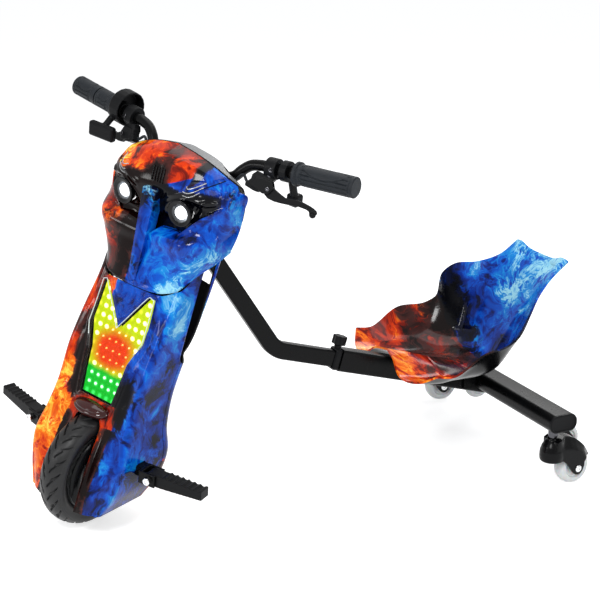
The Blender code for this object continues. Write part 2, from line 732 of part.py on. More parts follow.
def make_electrics():
    for name, size, up, finish in (("battery", BATTERY, BATTERY_AT, "battery_wrap"),
                                   ("controller", CONTROLLER, CONTROLLER_AT, "aluminium")):
        back = PLATE_OFFSET + PLATE_THICKNESS / 2 + FIT + size[1] / 2
        piece = bevelled(box(name, size, on_steering(up, back), LEAN), 0.003, segments=1)
        hang(piece, name, steering, finish)


make_electrics()


# Handlebar, grips, throttle, brake levers and switch

def bar_line():
    half = through(BAR_ROUTE, 10)
    left = [Vector(point) for point in half] + [Vector(BAR_END)]
    return [mirrored(point, -1) for point in reversed(left[1:])] + left


BAR_OUT = (Vector(BAR_END) - Vector(BAR_ROUTE[-1])).normalized()


def bar_point(x, side):
    # the bar's centre at a distance from the middle plane, on its straight outer run
    start = Vector(BAR_ROUTE[-1])
    return mirrored(start + BAR_OUT * ((x - start.x) / BAR_OUT.x), side)


def bar_way(side):
    return mirrored(BAR_OUT, side)


def make_handlebar():
    hang(tube("handlebar", bar_line(), BAR_RADIUS, sides=3), "handlebar", steering, "black_paint")


def grip_profile(length, collar):
    # a closed-end grip from its inner end to its cap
    bore = BAR_RADIUS + FIT
    cap = length
    floor = length - GRIP_OVERHANG
    ribs = []
    count = int(length / 0.022)
    for k in range(count):
        along = length - 0.010 - k * (length - 0.022) / max(count - 1, 1)
        ribs += [(GRIP_RADIUS, along + 0.003), (GRIP_RADIUS - 0.0008, along)]
    return [(0.0, cap), (GRIP_RADIUS - 0.002, cap), (GRIP_RADIUS, cap - 0.002), *ribs,
            (GRIP_RADIUS, 0.006), (collar, 0.005), (collar, 0.0), (bore, 0.0), (bore, floor), (0.0, floor)]


def make_left_grip():
    length = GRIP_LENGTH
    start = Vector(BAR_END) - BAR_OUT * (length - GRIP_OVERHANG - FIT)
    grip = turned("grip", grip_profile(length, GRIP_COLLAR_RADIUS), start, BAR_OUT, steps=16)
    hang(grip, "left_grip", steering, "rubber")


def make_right_grip():
    way = bar_way(-1)
    end = mirrored(BAR_END, -1)
    fixed = GRIP_LENGTH - TWIST_LENGTH - RUNNING
    start = end - way * (fixed - GRIP_OVERHANG - FIT)
    grip = turned("grip", grip_profile(fixed, GRIP_RADIUS), start, way, steps=16)
    hang(grip, "right_grip", steering, "rubber")

    twist_start = start - way * (RUNNING + TWIST_LENGTH)
    throttle = group("throttle_group", twist_start, steering)
    bore = BAR_RADIUS + RUNNING
    barrel = turned("twist", ((bore, TWIST_LENGTH), (GRIP_RADIUS, TWIST_LENGTH), (GRIP_RADIUS, 0.030),
                              (GRIP_RADIUS - 0.0008, 0.027), (GRIP_RADIUS, 0.024), (GRIP_RADIUS, 0.008),
                              (GRIP_COLLAR_RADIUS, 0.007), (GRIP_COLLAR_RADIUS, 0.0), (bore, 0.0)),
                    twist_start, way, steps=16, closed=True)
    hang(barrel, "twist_throttle", throttle, "rubber")

    face = twist_start - way * RUNNING
    bore = BAR_RADIUS + FIT
    outer = THROTTLE_RADIUS
    depth = THROTTLE_DEPTH
    wall = 0.003
    offset = Vector(THROTTLE_OFFSET)
    cup_face = face + offset - way * offset.dot(way)
    cup = turned("cup", ((0.0, 0.0), (outer - 0.004, 0.0), (outer, -0.005), (outer, -depth), (outer - wall, -depth),
                         (outer - wall, -0.008), (0.0, -0.008)), cup_face, way, steps=20)
    collar = rod("collar", face - way * 0.020, face - way * 0.001, bore + 0.004)
    root = face - way * 0.004 + Vector((0.0, -0.018, -0.014))
    pieces = [cup, collar, bevelled(box("box", THROTTLE_BOX, THROTTLE_BOX_AT), 0.003, segments=1),
              rod("stalk", root, Vector(THROTTLE_BOX_AT) + Vector((0.002, 0.0, 0.006)), 0.0060, segments=12)]
    bar_bore = rod("bar_bore", face - way * 0.05, face + way * 0.05, bore)
    hang(joined("housing", pieces, [bar_bore]), "throttle_housing", steering, "black_plastic")


def make_brake(side):
    way = SIDES[side]
    pivot = mirrored(LEVER_PIVOT, way)
    clamp = bar_point(CLAMP_X, way)
    along = bar_way(way)
    hinge = mirrored(BAR_OUT, 1).cross(Vector((0.0, 0.095, 0.995))).normalized()
    hinge = Vector((hinge.x * way, hinge.y, hinge.z))
    slot_half = 0.0068
    barrel_end = mirrored(BARREL_END, way)
    block = box("block", (0.022, 0.022, 0.019), pivot + Vector((-way * 0.002, 0, 0.001)))
    web_line = ((clamp.x - way * 0.008, clamp.z - 0.004), (clamp.x + way * 0.007, clamp.z - 0.006),
                (pivot.x + way * 0.006, pivot.z + 0.006), (pivot.x - way * 0.004, pivot.z - 0.008),
                (barrel_end.x + way * 0.004, barrel_end.z - 0.006), (barrel_end.x + way * 0.004, barrel_end.z + 0.006),
                (clamp.x - way * 0.017, pivot.z + 0.014))
    web = plate("web", [web_line], 0.0065, plane="XZ")
    web.location.y = pivot.y + 0.0045
    pieces = [rod("clamp", clamp - along * CLAMP_WIDTH / 2, clamp + along * CLAMP_WIDTH / 2, CLAMP_RADIUS),
              web,
              bevelled(block, 0.003, segments=1),
              rod("barrel", barrel_end - mirrored(BARREL_WAY, way) * 0.010, barrel_end, 0.0080, BARREL_RADIUS,
                  segments=12)]
    slot = box("slot", (0.034, 2 * slot_half, 0.024), pivot + Vector((way * 0.0085, 0, 0.0)))
    bar_bore = rod("bar_bore", clamp - along * 0.05, clamp + along * 0.05, BAR_RADIUS + FIT)
    perch = joined("perch", pieces, [bar_bore, slot])
    pin = rod("pin", pivot - hinge * 0.0120, pivot + hinge * 0.0120, 0.0025, segments=12)
    perch = joined("perch", [perch, pin])
    hang(perch, side + "_brake_perch", steering, "black_plastic")

    lever_group = group(side + "_brake_lever_group", pivot, steering)
    route = [pivot + mirrored(point, way) for point in LEVER_ROUTE]
    blade_points = [Vector(point) for point in through(route, 7)]
    pieces = [tube("blade", blade_points, LEVER_RADIUS, sides=2),
              rod("root", pivot - hinge * 0.0046, pivot + hinge * 0.0046, 0.0072),
              ball("tip", blade_points[-1], (LEVER_BALL,) * 3, segments=10, rings=6)]
    pin_hole = rod("pin_hole", pivot - hinge * 0.02, pivot + hinge * 0.02, 0.0025 + FIT, segments=12)
    lever = joined("lever", pieces, [pin_hole])
    hang(lever, side + "_brake_lever", lever_group, "black_plastic")


def make_switch():
    clamp = bar_point(SWITCH_X, 1)
    along = bar_way(1)
    half = along * SWITCH_WIDTH / 2
    top = clamp + Vector((0, 0.013, -0.012))
    foot = clamp + Vector((-0.002, 0.030, -SWITCH_DROP - 0.018))
    block_at = foot + Vector((0, 0.0, 0.006))
    pieces = [rod("ring", clamp - half, clamp + half, SWITCH_RADIUS),
              rod("stalk", top, foot + Vector((0, 0, 0.006)), 0.0065, segments=16),
              bevelled(box("block", (0.022, 0.020, 0.020), block_at), 0.003, segments=1)]
    bore = rod("bar_bore", clamp - along * 0.05, clamp + along * 0.05, BAR_RADIUS + FIT)
    face = block_at + Vector((0, 0.010, 0))
    button_hole = rod("button_hole", face - Vector((0, 0.007, 0)), face + Vector((0, 0.01, 0)),
                      BUTTON_RADIUS + RUNNING / 2)
    hang(joined("switch", pieces, [bore, button_hole]), "switch_block", steering, "black_plastic")
    button_group = group("horn_button_group", face, steering)
    button = turned("button", ((0.0, BUTTON_PROUD), (BUTTON_RADIUS - 0.001, BUTTON_PROUD),
                               (BUTTON_RADIUS, BUTTON_PROUD - 0.001), (BUTTON_RADIUS, -0.0045), (0.0, -0.0045)),
                    face, (0, 1, 0), steps=20)
    hang(button, "horn_button", button_group, "print_fire")


def bar_at(x):
    # the bar's centre anywhere along its curved inner run
    line = np.array(through(BAR_ROUTE, 60))
    return Vector([float(np.interp(x, line[:, 0], line[:, i])) for i in range(3)])


def make_cable(side):
    way = SIDES[side]
    start = Vector(BARREL_END) + BARREL_WAY * FIT
    beside = Vector((0.25, -0.80, -0.60)).normalized() * CABLE_BESIDE
    route = [start, start + BARREL_WAY * 0.004, start + BARREL_WAY * 0.007]
    route += [bar_at(x) + beside for x in (0.1040, 0.0930, 0.0820)]
    route += [Vector((0.0640, 0.1700, 0.5720)), Vector((0.0560, 0.1600, 0.5500))]
    points = [mirrored(point, way) for point in through(route, 16)]
    hang(tube("cable", points, CABLE_RADIUS, sides=2), side + "_brake_cable", steering, "rubber")


make_handlebar()
make_left_grip()
make_right_grip()
for each_side in SIDES:
    make_brake(each_side)
    make_cable(each_side)
make_switch()


# Fairing: front and rear mouldings of the column

def column_heights(top):
    return list(np.linspace(COLUMN_LEVELS[0][0], top, 12))


def face_y(x, height):
    # the front face of the column, crowned across its width
    flat = half_width(height) - SIDE_CORNER
    share = min(abs(x) / flat, 1.0)
    return front_y(height) + (side_y(height) - front_y(height)) * share**FACE_CROWN


def front_section(height):
    wide = half_width(height)
    flat = wide - SIDE_CORNER
    side = side_y(height)
    row = [(flat * share, face_y(flat * share, height), height) for share in FACE_SHARES]
    for k in range(1, 4):
        turn = math.pi / 2 * k / 3
        row.append((flat + SIDE_CORNER * math.sin(turn), side + SIDE_CORNER * (1 - math.cos(turn)), height))
    seam = rear_y(height) - REAR_PANEL_DEPTH
    row.append((wide, (side + SIDE_CORNER + seam) / 2, height))
    row.append((wide, seam, height))
    return row


def rear_section(height):
    wide = half_width(height)
    corner = REAR_PANEL_DEPTH - SEAM - 0.003
    flat = wide - corner
    rear_edge = rear_y(height)
    crown = level_value(height, 5)
    row = [(wide, rear_edge - REAR_PANEL_DEPTH + SEAM, height), (wide, rear_edge - corner, height)]
    for k in range(1, 4):
        turn = math.pi / 2 * k / 4
        row.append((flat + corner * math.cos(turn), rear_edge - corner * (1 - math.sin(turn)), height))
    row += [(x, rear_edge + crown * (1 - (x / flat)**2), height) for x in np.linspace(flat, 0.0, 4)]
    return row


def chin_prism(name, above, gap):
    # everything above, or below, the head's chin line, as a prism right across
    limit = 0.75 if above else 0.0
    line = [(y, z + gap) for y, z in CHIN_LINE]
    line = [(-0.20, line[0][1])] + line + [(0.40, line[-1][1])]
    return plate(name, [[(0.40, limit), (-0.20, limit)] + line], 0.25)


def lamp_window():
    outer = [(x, z) for x, z in LAMP_OUTER]
    inner = [(x, z) for x, z in LAMP_INNER]
    right = outer + inner
    left = [(-x, z) for x, z in reversed(outer + inner[:-1])]
    return plate("window", [right + left], 0.09, plane="XZ")


def side_slot():
    top = Vector(SLOT_TOP)
    outline = strap_outline(SLOT_FOOT, top + (top - Vector(SLOT_FOOT)) * 0.2, SLOT_HALF_WIDTH)
    return plate("slot", [outline], 0.15)


def arch_outline():
    # the tyre's opening from the front: splayed sides and a rounded top
    top = []
    for k in range(9):
        turn = math.pi * k / 8
        top.append((ARCH_HIGH_HALF * math.cos(turn), ARCH_SHOULDER + (ARCH_TOP - ARCH_SHOULDER) * math.sin(turn)))
    return [(-ARCH_LOW_HALF - 0.001, 0.0), (ARCH_LOW_HALF + 0.001, 0.0), (ARCH_LOW_HALF, 0.063)] + top \
        + [(-ARCH_LOW_HALF, 0.063)]


def peg_hole(way):
    wide, deep, high = PEG_ARM
    return box("peg_hole", (0.040, deep + 2 * RUNNING, high + 2 * RUNNING), (way * 0.105, PEG_ARM_Y, PEG_PIVOT[2]))


def make_column():
    front = grid_mesh("front", [front_section(height) for height in column_heights(COLUMN_TOP)])
    front = mirror_and_thicken(front, SHELL, inwards=True)
    nose = ball("nose", NOSE, NOSE_RADIUS, segments=12, rings=6)
    arch = plate("arch", [arch_outline()], 0.10, plane="XZ")
    arch.location.y = -0.05
    front = joined("front", [front, nose],
                   [arch, lamp_window(), side_slot(), chin_prism("chin", True, -SEAM),
                    peg_hole(1), peg_hole(-1)])
    hang(front, "front_fairing", steering, "print")

    back = grid_mesh("back", [rear_section(height) for height in column_heights(COLUMN_TOP)])
    back = mirror_and_thicken(back, SHELL, inwards=True)
    notch = box("notch", (2 * TUBE_NOTCH_HALF, 0.30, 0.20), (0, 0.25, TUBE_NOTCH_LOW + 0.10))
    low_arch = box("low_arch", (2 * REAR_ARCH_HALF, 0.30, 0.20), (0, 0.10, REAR_ARCH_TOP - 0.10))
    back = joined("back", [back], [notch, low_arch, side_slot(), chin_prism("chin", True, -SEAM)])
    hang(back, "rear_fairing", steering, "print_fire")


def lamp_skin(name, behind, margin, thickness, top, outwards):
    # a curved sheet that follows the column's face behind or before the lamp window
    low = LAMP_OUTER[0][1] - margin
    heights = sorted({low, top, *[z for x, z in LAMP_OUTER[1:-1]], *np.linspace(low, top, 5)[1:-1]})
    outer_z = [z for x, z in LAMP_OUTER]
    outer_x = [x for x, z in LAMP_OUTER]
    rows = []
    for height in heights:
        wide = float(np.interp(height, outer_z, outer_x)) + margin
        rows.append([(wide * share, face_y(wide * share, height) + behind, height) for share in LENS_SHARES])
    return mirror_and_thicken(grid_mesh(name, rows), thickness, inwards=not outwards)


def make_lamp():
    lens = lamp_skin("lens", -LENS_STANDOFF, LENS_MARGIN, LENS_THICKNESS, LENS_TOP, outwards=True)
    hang(lens, "lamp_lens", steering, "clear")
    board = lamp_skin("board", SHELL + BOARD_BEHIND, BOARD_MARGIN, BOARD_THICKNESS, LAMP_OUTER[-1][1] + BOARD_MARGIN,
                      outwards=False)
    tip = LAMP_INNER[1][1] - BOARD_MARGIN
    corner = (LAMP_INNER[0][0] - BOARD_MARGIN, LAMP_INNER[0][1])
    rise = (corner[1] - tip) * 1.5
    spread = corner[0] * 1.5
    notch = plate("notch", [[(-spread, tip + rise), (0.0, tip), (spread, tip + rise)]], 0.15, plane="XZ")
    hang(joined("board", [board], [notch]), "lamp_board", steering, "lamp")


make_column()
make_lamp()


# Head: cowl with its fin, dash panel and headlights

def pod_frame(way):
    axis = mirrored(POD_WAY, way).normalized()
    rim = mirrored(POD, way)
    return rim, axis


def bar_cutter():
    return tube("bar_cut", bar_line(), BAR_HOLE_RADIUS, sides=3)


def make_head():
    cowl = loft("cowl", HEAD_RIBS, 8, 15)
    cowl = mirror_and_thicken(cowl, SHELL, inwards=True)
    middle = Vector((0, (FIN_LOW[0] + FIN_HIGH[0]) / 2, (FIN_LOW[1] + FIN_HIGH[1]) / 2))
    run = Vector((0, FIN_HIGH[0] - FIN_LOW[0], FIN_HIGH[1] - FIN_LOW[1]))
    lean = Vector((0, 0, 1)).rotation_difference(run)
    half = run.length / 2
    fin = plate("fin", [[(-FIN_LOW_HALF, -half), (FIN_LOW_HALF, -half), (FIN_HIGH_HALF, half), (-FIN_HIGH_HALF, half)]],
                FIN_DEPTH / 2, plane="XZ")
    fin.matrix_world = Matrix.Translation(middle + Vector((0, FIN_DEPTH / 2, 0))) @ lean.to_matrix().to_4x4() \
        @ fin.matrix_world
    cutters = [chin_prism("chin", False, 0.0), bar_cutter()]
    for way in SIDES.values():
        rim, axis = pod_frame(way)
        cutters.append(rod("pod_cut", rim - axis * (POD_DEPTH + 0.004), rim + axis * 0.03, POD_RADIUS + FIT,
                           segments=20))
    cowl = joined("cowl", [cowl, bevelled(solid(fin), 0.004)], cutters)
    hang(cowl, "head_cowl", steering, "print")

    dash = mirror_and_thicken(loft("dash", DASH_RIBS, 7, 5), SHELL, inwards=True)
    dash = joined("dash", [dash], [bar_cutter()])
    hang(dash, "dash_panel", steering, "grey_panel")


def make_headlights():
    for side, way in SIDES.items():
        rim, axis = pod_frame(way)
        base = rim - axis * POD_DEPTH
        hole = LED_RADIUS + FIT
        bowl = turned("bowl", ((POD_RADIUS - 0.002, POD_DEPTH + 0.001), (POD_RADIUS, POD_DEPTH), (POD_RADIUS, POD_DEPTH - 0.006),
                               (LED_RADIUS + 0.006, 0.0), (hole, 0.0), (hole, 0.003), (LED_RADIUS + 0.004, 0.004),
                               (POD_RADIUS - 0.006, 0.009), (POD_RADIUS - 0.003, POD_DEPTH - 0.002)),
                      base, axis, steps=20, closed=True)
        hang(bowl, side + "_headlight_bowl", steering, "reflector")
        led = turned("led", ((0.0, LED_HEIGHT + 0.003), (LED_RADIUS * 0.6, LED_HEIGHT + 0.0022),
                             (LED_RADIUS, LED_HEIGHT), (LED_RADIUS, 0.0), (0.0, 0.0)), base, axis, steps=16)
        hang(led, side + "_headlight_led", steering, "lamp_white")


make_head()
make_headlights()


# Foot pegs

def peg_turn(way):
    return Quaternion((0, 0, 1), way * math.atan2(PEG_SWEEP, PEG_TIP_X - PEG_PIVOT[0]))


def peg_outline():
    # side view of a peg from its pivot outwards, toothed along the top
    length = PEG_TIP_X - PEG_PIVOT[0]
    start = 0.022
    out = []
    for k in range(9):
        turn = math.pi / 2 + math.pi * k / 8
        out.append((PEG_ROOT_HALF * math.cos(turn), PEG_ROOT_HALF * math.sin(turn)))
    out.append((start, -PEG_ROOT_HALF))
    out.append((length, -PEG_TIP_HALF))
    out.append((length, PEG_TIP_HALF + PEG_TOOTH / 2))
    pitch = (length - start) / PEG_TEETH
    for k in range(PEG_TEETH):
        tip = length - (k + 0.35) * pitch
        top = PEG_TIP_HALF + (PEG_ROOT_HALF - PEG_TIP_HALF) * (length - tip) / (length - start)
        out.append((tip, top + PEG_TOOTH / 2))
        out.append((tip - 0.35 * pitch, top - PEG_TOOTH / 2))
        out.append((tip - 0.60 * pitch, top - PEG_TOOTH / 2))
    return out


def make_peg(side):
    way = SIDES[side]
    pivot = mirrored(PEG_PIVOT, way)
    turn = peg_turn(way)
    hinge = turn @ Vector((0, 1, 0))
    outwards = turn @ Vector((way, 0, 0))
    inner_half = PEG_HALF_DEPTH + RUNNING
    outer_half = inner_half + EAR_THICKNESS
    pieces = [box("arm", PEG_ARM, (way * (FORK_GAP + FORK_LEG + FIT + PEG_ARM[0] / 2), PEG_ARM_Y, PEG_PIVOT[2]))]
    pieces.append(box("yoke", (0.0060, 2 * outer_half, 2 * BRACKET_HALF_HEIGHT), pivot - outwards * 0.0160, turn))
    for edge in (1, -1):
        pieces.append(box("ear", (0.0290, EAR_THICKNESS, 2 * BRACKET_HALF_HEIGHT),
                          pivot - outwards * 0.0030 + hinge * edge * (outer_half - EAR_THICKNESS / 2), turn))
    pieces.append(rod("bolt", pivot - hinge * (outer_half + 0.004), pivot + hinge * (outer_half + 0.004), 0.0035,
                      segments=16))
    pieces.append(rod("head", pivot - hinge * (outer_half - 0.001), pivot - hinge * (outer_half + 0.004), 0.0065,
                      0.0050, segments=16))
    hang(joined("bracket", pieces), side + "_peg_bracket", steering, "black_paint")

    peg_group = group(side + "_peg_group", pivot, steering, turn)
    outline = [(way * x, z) for x, z in peg_outline()]
    peg = plate("peg", [outline], PEG_HALF_DEPTH, plane="XZ")
    rise = math.atan2(PEG_RISE, PEG_TIP_X - PEG_PIVOT[0])
    peg.matrix_world = Matrix.Translation(pivot) @ Matrix.Rotation(-way * rise, 4, "Y") @ peg.matrix_world
    hole = rod("hole", pivot - Vector((0, 0.05, 0)), pivot + Vector((0, 0.05, 0)), 0.0035 + FIT, segments=16)
    peg = joined("peg", [bevelled(solid(peg), 0.0015, segments=1)], [hole])
    hang(peg, side + "_foot_peg", peg_group, "black_plastic")


for each_side in SIDES:
    make_peg(each_side)


# Main frame tube

def banded(points, half):
    # both edges of a flat strip along a line of points, as one outline
    points = [Vector(point) for point in points]
    left = []
    right = []
    for i, point in enumerate(points):
        before = points[max(i - 1, 0)]
        after = points[min(i + 1, len(points) - 1)]
        way = (after - before).normalized()
        side = Vector((-way.y, way.x))
        left.append(point + side * half)
        right.append(point - side * half)
    return [(point.x, point.y) for point in left + list(reversed(right))]


def filleted(start, corner, end, radius, steps=8):
    # a line with one bend, rounded by an arc
    start, corner, end = Vector(start), Vector(corner), Vector(end)
    inward = (start - corner).normalized()
    outward = (end - corner).normalized()
    half = inward.angle(outward) / 2
    reach = radius / math.tan(half)
    centre = corner + (inward + outward).normalized() * radius / math.sin(half)
    first = corner + inward * reach - centre
    last = corner + outward * reach - centre
    sweep = first.angle_signed(last)
    points = [start]
    for k in range(steps + 1):
        turn = Matrix.Rotation(-sweep * k / steps, 2)
        points.append(centre + turn @ first)
    points.append(end)
    return points


def on_rear(along, up=0.0, across=0.0):
    # a point along the rear run of the tube, from the sleeve's mouth
    lift = Vector((0, -REAR_WAY.z, REAR_WAY.y))
    return SLEEVE_FROM + REAR_WAY * along + lift * up + Vector((across, 0, 0))


REAR_TURN = Vector((0, 1, 0)).rotation_difference(REAR_WAY)


def make_front_frame():
    end = on_rear(MAIN_INSERT)
    line = filleted(MAIN_TOP, MAIN_BEND, (end.y, end.z), MAIN_BEND_RADIUS)
    tube_piece = plate("main_tube", [banded(line, MAIN_HEIGHT / 2)], MAIN_WIDTH / 2)
    tube_piece = bevelled(solid(tube_piece), 0.0030, segments=1)
    low = on_steering(HEAD_TUBE_LOW)
    high = on_steering(HEAD_TUBE_LOW + HEAD_TUBE_LENGTH)
    head_tube = rod("head_tube", low, high, HEAD_TUBE_RADIUS)
    bore = rod("bore", low - STEER_UP * 0.02, high + STEER_UP * 0.02, HEAD_TUBE_BORE)
    hang(joined("front_frame", [tube_piece, head_tube], [bore]), "front_frame", frame, "black_paint")


make_front_frame()


# Rear frame: sleeve, crossbar, collar, knob and end caps

def racetrack(half_long, half_high, centre, steps=6):
    out = []
    straight = half_long - half_high
    for end, first in ((1, -math.pi / 2), (-1, math.pi / 2)):
        for k in range(steps + 1):
            turn = first + math.pi * k / steps
            out.append((centre[0] + end * straight + half_high * math.cos(turn),
                        centre[1] + half_high * math.sin(turn)))
    return out


def make_rear_frame():
    length = (CROSS_Y - SLEEVE_START) / REAR_WAY.y
    sleeve = bevelled(box("sleeve", (SLEEVE_WIDTH, length, SLEEVE_HEIGHT), on_rear(length / 2), REAR_TURN), 0.003)
    outer = racetrack(CROSS_DEPTH / 2, CROSS_HEIGHT / 2, (CROSS_Y, CROSS_Z))
    inner = racetrack(CROSS_DEPTH / 2 - CROSS_WALL, CROSS_HEIGHT / 2 - CROSS_WALL, (CROSS_Y, CROSS_Z))
    half = CROSS_HALF_LENGTH - CAP_THICKNESS - FIT
    crossbar = plate("crossbar", [outer, inner], half)
    bore_length = MAIN_INSERT + 0.050
    bore = box("bore", (MAIN_WIDTH + 2 * RUNNING, bore_length, MAIN_HEIGHT + 2 * RUNNING),
               on_rear(bore_length / 2 - 0.01), REAR_TURN)
    holes = [rod("stem_hole", (way * CASTER_X, CASTER_Y, CROSS_Z - 0.03), (way * CASTER_X, CASTER_Y, CROSS_Z),
                 STEM_RADIUS + FIT, segments=16) for way in SIDES.values()]
    hang(joined("rear_frame", [crossbar, sleeve], [bore, *holes]), "rear_frame", rear, "black_paint")

    for side, way in SIDES.items():
        cap = plate("cap", [outer], CAP_THICKNESS / 2)
        cap.location.x = way * (CROSS_HALF_LENGTH - CAP_THICKNESS / 2)
        plug_outline = racetrack(CROSS_DEPTH / 2 - CROSS_WALL - FIT, CROSS_HEIGHT / 2 - CROSS_WALL - FIT,
                                 (CROSS_Y, CROSS_Z))
        plug = plate("plug", [plug_outline], CAP_PLUG / 2)
        plug.location.x = way * (CROSS_HALF_LENGTH - CAP_THICKNESS - CAP_PLUG / 2 + 0.001)
        hang(joined("cap", [bevelled(solid(cap), 0.001, segments=1), plug]), side + "_end_cap", rear, "black_plastic")


def make_collar():
    outer = (SLEEVE_WIDTH - 0.002, COLLAR_LENGTH, SLEEVE_HEIGHT - 0.002)
    middle = -COLLAR_LENGTH / 2 - FIT
    body = bevelled(box("collar", outer, on_rear(middle), REAR_TURN), 0.003, segments=1)
    boss_top = SLEEVE_HEIGHT / 2 + 0.005
    boss = rod("boss", on_rear(middle), on_rear(middle, boss_top), 0.0065, segments=20)
    bore = box("bore", (MAIN_WIDTH + 2 * RUNNING, 0.06, MAIN_HEIGHT + 2 * RUNNING), on_rear(middle), REAR_TURN)
    screw_hole = rod("screw_hole", on_rear(middle, MAIN_HEIGHT / 2), on_rear(middle, boss_top + 0.01),
                     0.0035 + FIT, segments=16)
    hang(joined("collar", [body, boss], [bore, screw_hole]), "sleeve_collar", rear, "black_plastic")

    knob_base = on_rear(middle, boss_top + RUNNING)
    lift = on_rear(0, 1) - on_rear(0)
    knob_group = group("lock_knob_group", knob_base, rear)
    lobes = []
    for k in range(24):
        turn = math.tau * k / 24
        radius = KNOB_RADIUS * (0.90 + 0.10 * math.cos(6 * turn))
        lobes.append((radius * math.cos(turn), radius * math.sin(turn)))
    head = plate("knob", [lobes], KNOB_HEIGHT / 2, plane="XY")
    head.matrix_world = Matrix.Translation(knob_base + lift * KNOB_HEIGHT / 2) \
        @ Vector((0, 0, 1)).rotation_difference(lift).to_matrix().to_4x4()
    shank_foot = knob_base - lift * (boss_top + RUNNING - MAIN_HEIGHT / 2 - RUNNING)
    shank = rod("shank", shank_foot, knob_base + lift * 0.004, 0.0035, segments=16)
    knob = joined("knob", [bevelled(solid(head), 0.0015, segments=1), shank])
    hang(knob, "lock_knob", knob_group, "black_plastic")


make_rear_frame()
make_collar()


# Seat

def make_seat():
    seat = mirror_and_thicken(loft("seat", SEAT_RIBS, 9, 21), SEAT_WALL, inwards=True, even=False)
    hang(seat, "seat_shell", rear, "print")
    top = SEAT_PLATE_TOP
    deep, thick = SEAT_PLATE[1:]
    pieces = [box("plate", SEAT_PLATE, (0, SEAT_PLATE_Y, top - thick / 2))]
    for way in SIDES.values():
        pieces.append(box("leg", (SEAT_LEG, deep, top - thick / 2 - SEAT_LEG_LOW),
                          (way * (SLEEVE_WIDTH + SEAT_LEG + 2 * FIT) / 2, SEAT_PLATE_Y, (top - thick / 2 + SEAT_LEG_LOW) / 2)))
    hang(joined("seat_bracket", pieces), "seat_bracket", rear, "black_paint")


make_seat()


# Casters and rollers

def wheel_profile(radius, width, bore):
    half = width / 2
    step = 0.003
    rows = [(bore, half - step), (radius * 0.62, half - step), (radius * 0.70, half)]
    for k in range(5):
        turn = math.pi * k / 4
        rows.append((radius - 0.006 + 0.006 * math.sin(turn), (half - 0.0005) * math.cos(turn)))
    return rows + [(radius * 0.70, -half), (radius * 0.62, step - half), (bore, step - half)]


def make_caster(side):
    way = SIDES[side]
    centre = Vector((way * CASTER_X, CASTER_Y, 0))
    ceiling = CROSS_Z - CROSS_HEIGHT / 2 - FIT
    spacer_low = HOUSING_HIGH + RUNNING
    nut_low = 0.0970
    pieces = [rod("bolt", centre + Vector((0, 0, STEM_FOOT)), centre + Vector((0, 0, STEM_TOP)), STEM_RADIUS,
                  segments=16),
              rod("spacer", centre + Vector((0, 0, spacer_low)), centre + Vector((0, 0, nut_low + 0.001)), 0.0068,
                  segments=20),
              rod("nut", centre + Vector((0, 0, nut_low)), centre + Vector((0, 0, ceiling)), STEM_NUT_RADIUS,
                  segments=6)]
    hang(joined("stem", pieces), side + "_caster_stem", rear, "steel")

    swivel = group(side + "_caster_group", centre + Vector((0, 0, HOUSING_HIGH)), rear,
                   Quaternion((0, 0, 1), CASTER_TURN[side]))
    axle = centre + Vector((0, CASTER_TRAIL, REAR_GROUND + CASTER_RADIUS))
    boss = 0.0120
    cavity = CASTER_RADIUS + 0.0012
    outline = [(-HOUSING_RADIUS, HOUSING_LOW), (-HOUSING_RADIUS, HOUSING_HIGH - 0.008),
               (-HOUSING_RADIUS + 0.006, HOUSING_HIGH), (HOUSING_RADIUS - 0.004, HOUSING_HIGH)]
    for reach, turn in ((0.0385, 92), (0.0370, 75), (0.0365, 58), (0.0362, 40)):
        turn = math.radians(turn)
        outline.append((CASTER_TRAIL + reach * math.cos(turn), CASTER_RADIUS + reach * math.sin(turn)))
    outline += [(HOOD_TAIL, CASTER_RADIUS + 0.0110), (CASTER_TRAIL + 0.0230, CASTER_RADIUS + 0.0050)]
    for k in range(7):
        turn = math.radians(15 - 30 * k)
        outline.append((CASTER_TRAIL + boss * math.cos(turn), CASTER_RADIUS + boss * math.sin(turn)))
    outline.append((HOUSING_RADIUS - 0.002, HOUSING_LOW))
    hood = plate("hood", [[(centre.y + y, z) for y, z in outline]], HOOD_HALF_WIDTH + 0.005)
    hood.location.x = centre.x
    top_view = []
    for k in range(9):
        turn = math.pi * k / 8
        top_view.append((HOUSING_RADIUS * math.cos(turn), -HOUSING_RADIUS * math.sin(turn)))
    top_view += [(-HOOD_HALF_WIDTH, CASTER_TRAIL + 0.012), (-0.0110, HOOD_TAIL + 0.001), (0.0110, HOOD_TAIL + 0.001),
                 (HOOD_HALF_WIDTH, CASTER_TRAIL + 0.012)]
    plan = plate("plan", [top_view], 0.12, plane="XY")
    plan.location = centre
    hood = solid(hood)
    tool = combine(hood, plan, "INTERSECT")
    hood = bevelled(solid(hood), 0.0035, segments=1, angle=50)
    bpy.data.objects.remove(tool, do_unlink=True)
    wheel_gap = CASTER_WIDTH / 2 + RUNNING
    cutters = [rod("cavity", axle - Vector((wheel_gap, 0, 0)), axle + Vector((wheel_gap, 0, 0)), cavity, segments=24),
               rod("bore", centre + Vector((0, 0, 0.03)), centre + Vector((0, 0, 0.10)), STEM_RADIUS + RUNNING,
                   segments=20)]
    hood = joined("hood", [hood], cutters)
    reach = Vector((HOOD_HALF_WIDTH + 0.0015, 0, 0))
    hood = joined("hood", [hood, rod("axle", axle - reach, axle + reach, CASTER_AXLE_RADIUS, segments=16)])
    hang(hood, side + "_caster_hood", swivel, "black_plastic")

    spin = group(side + "_caster_wheel_group", axle, swivel)
    wheel = turned("wheel", wheel_profile(CASTER_RADIUS, CASTER_WIDTH, CASTER_AXLE_RADIUS + FIT), axle, (1, 0, 0),
                   steps=20, closed=True)
    hang(wheel, side + "_caster_wheel", spin, "urethane")


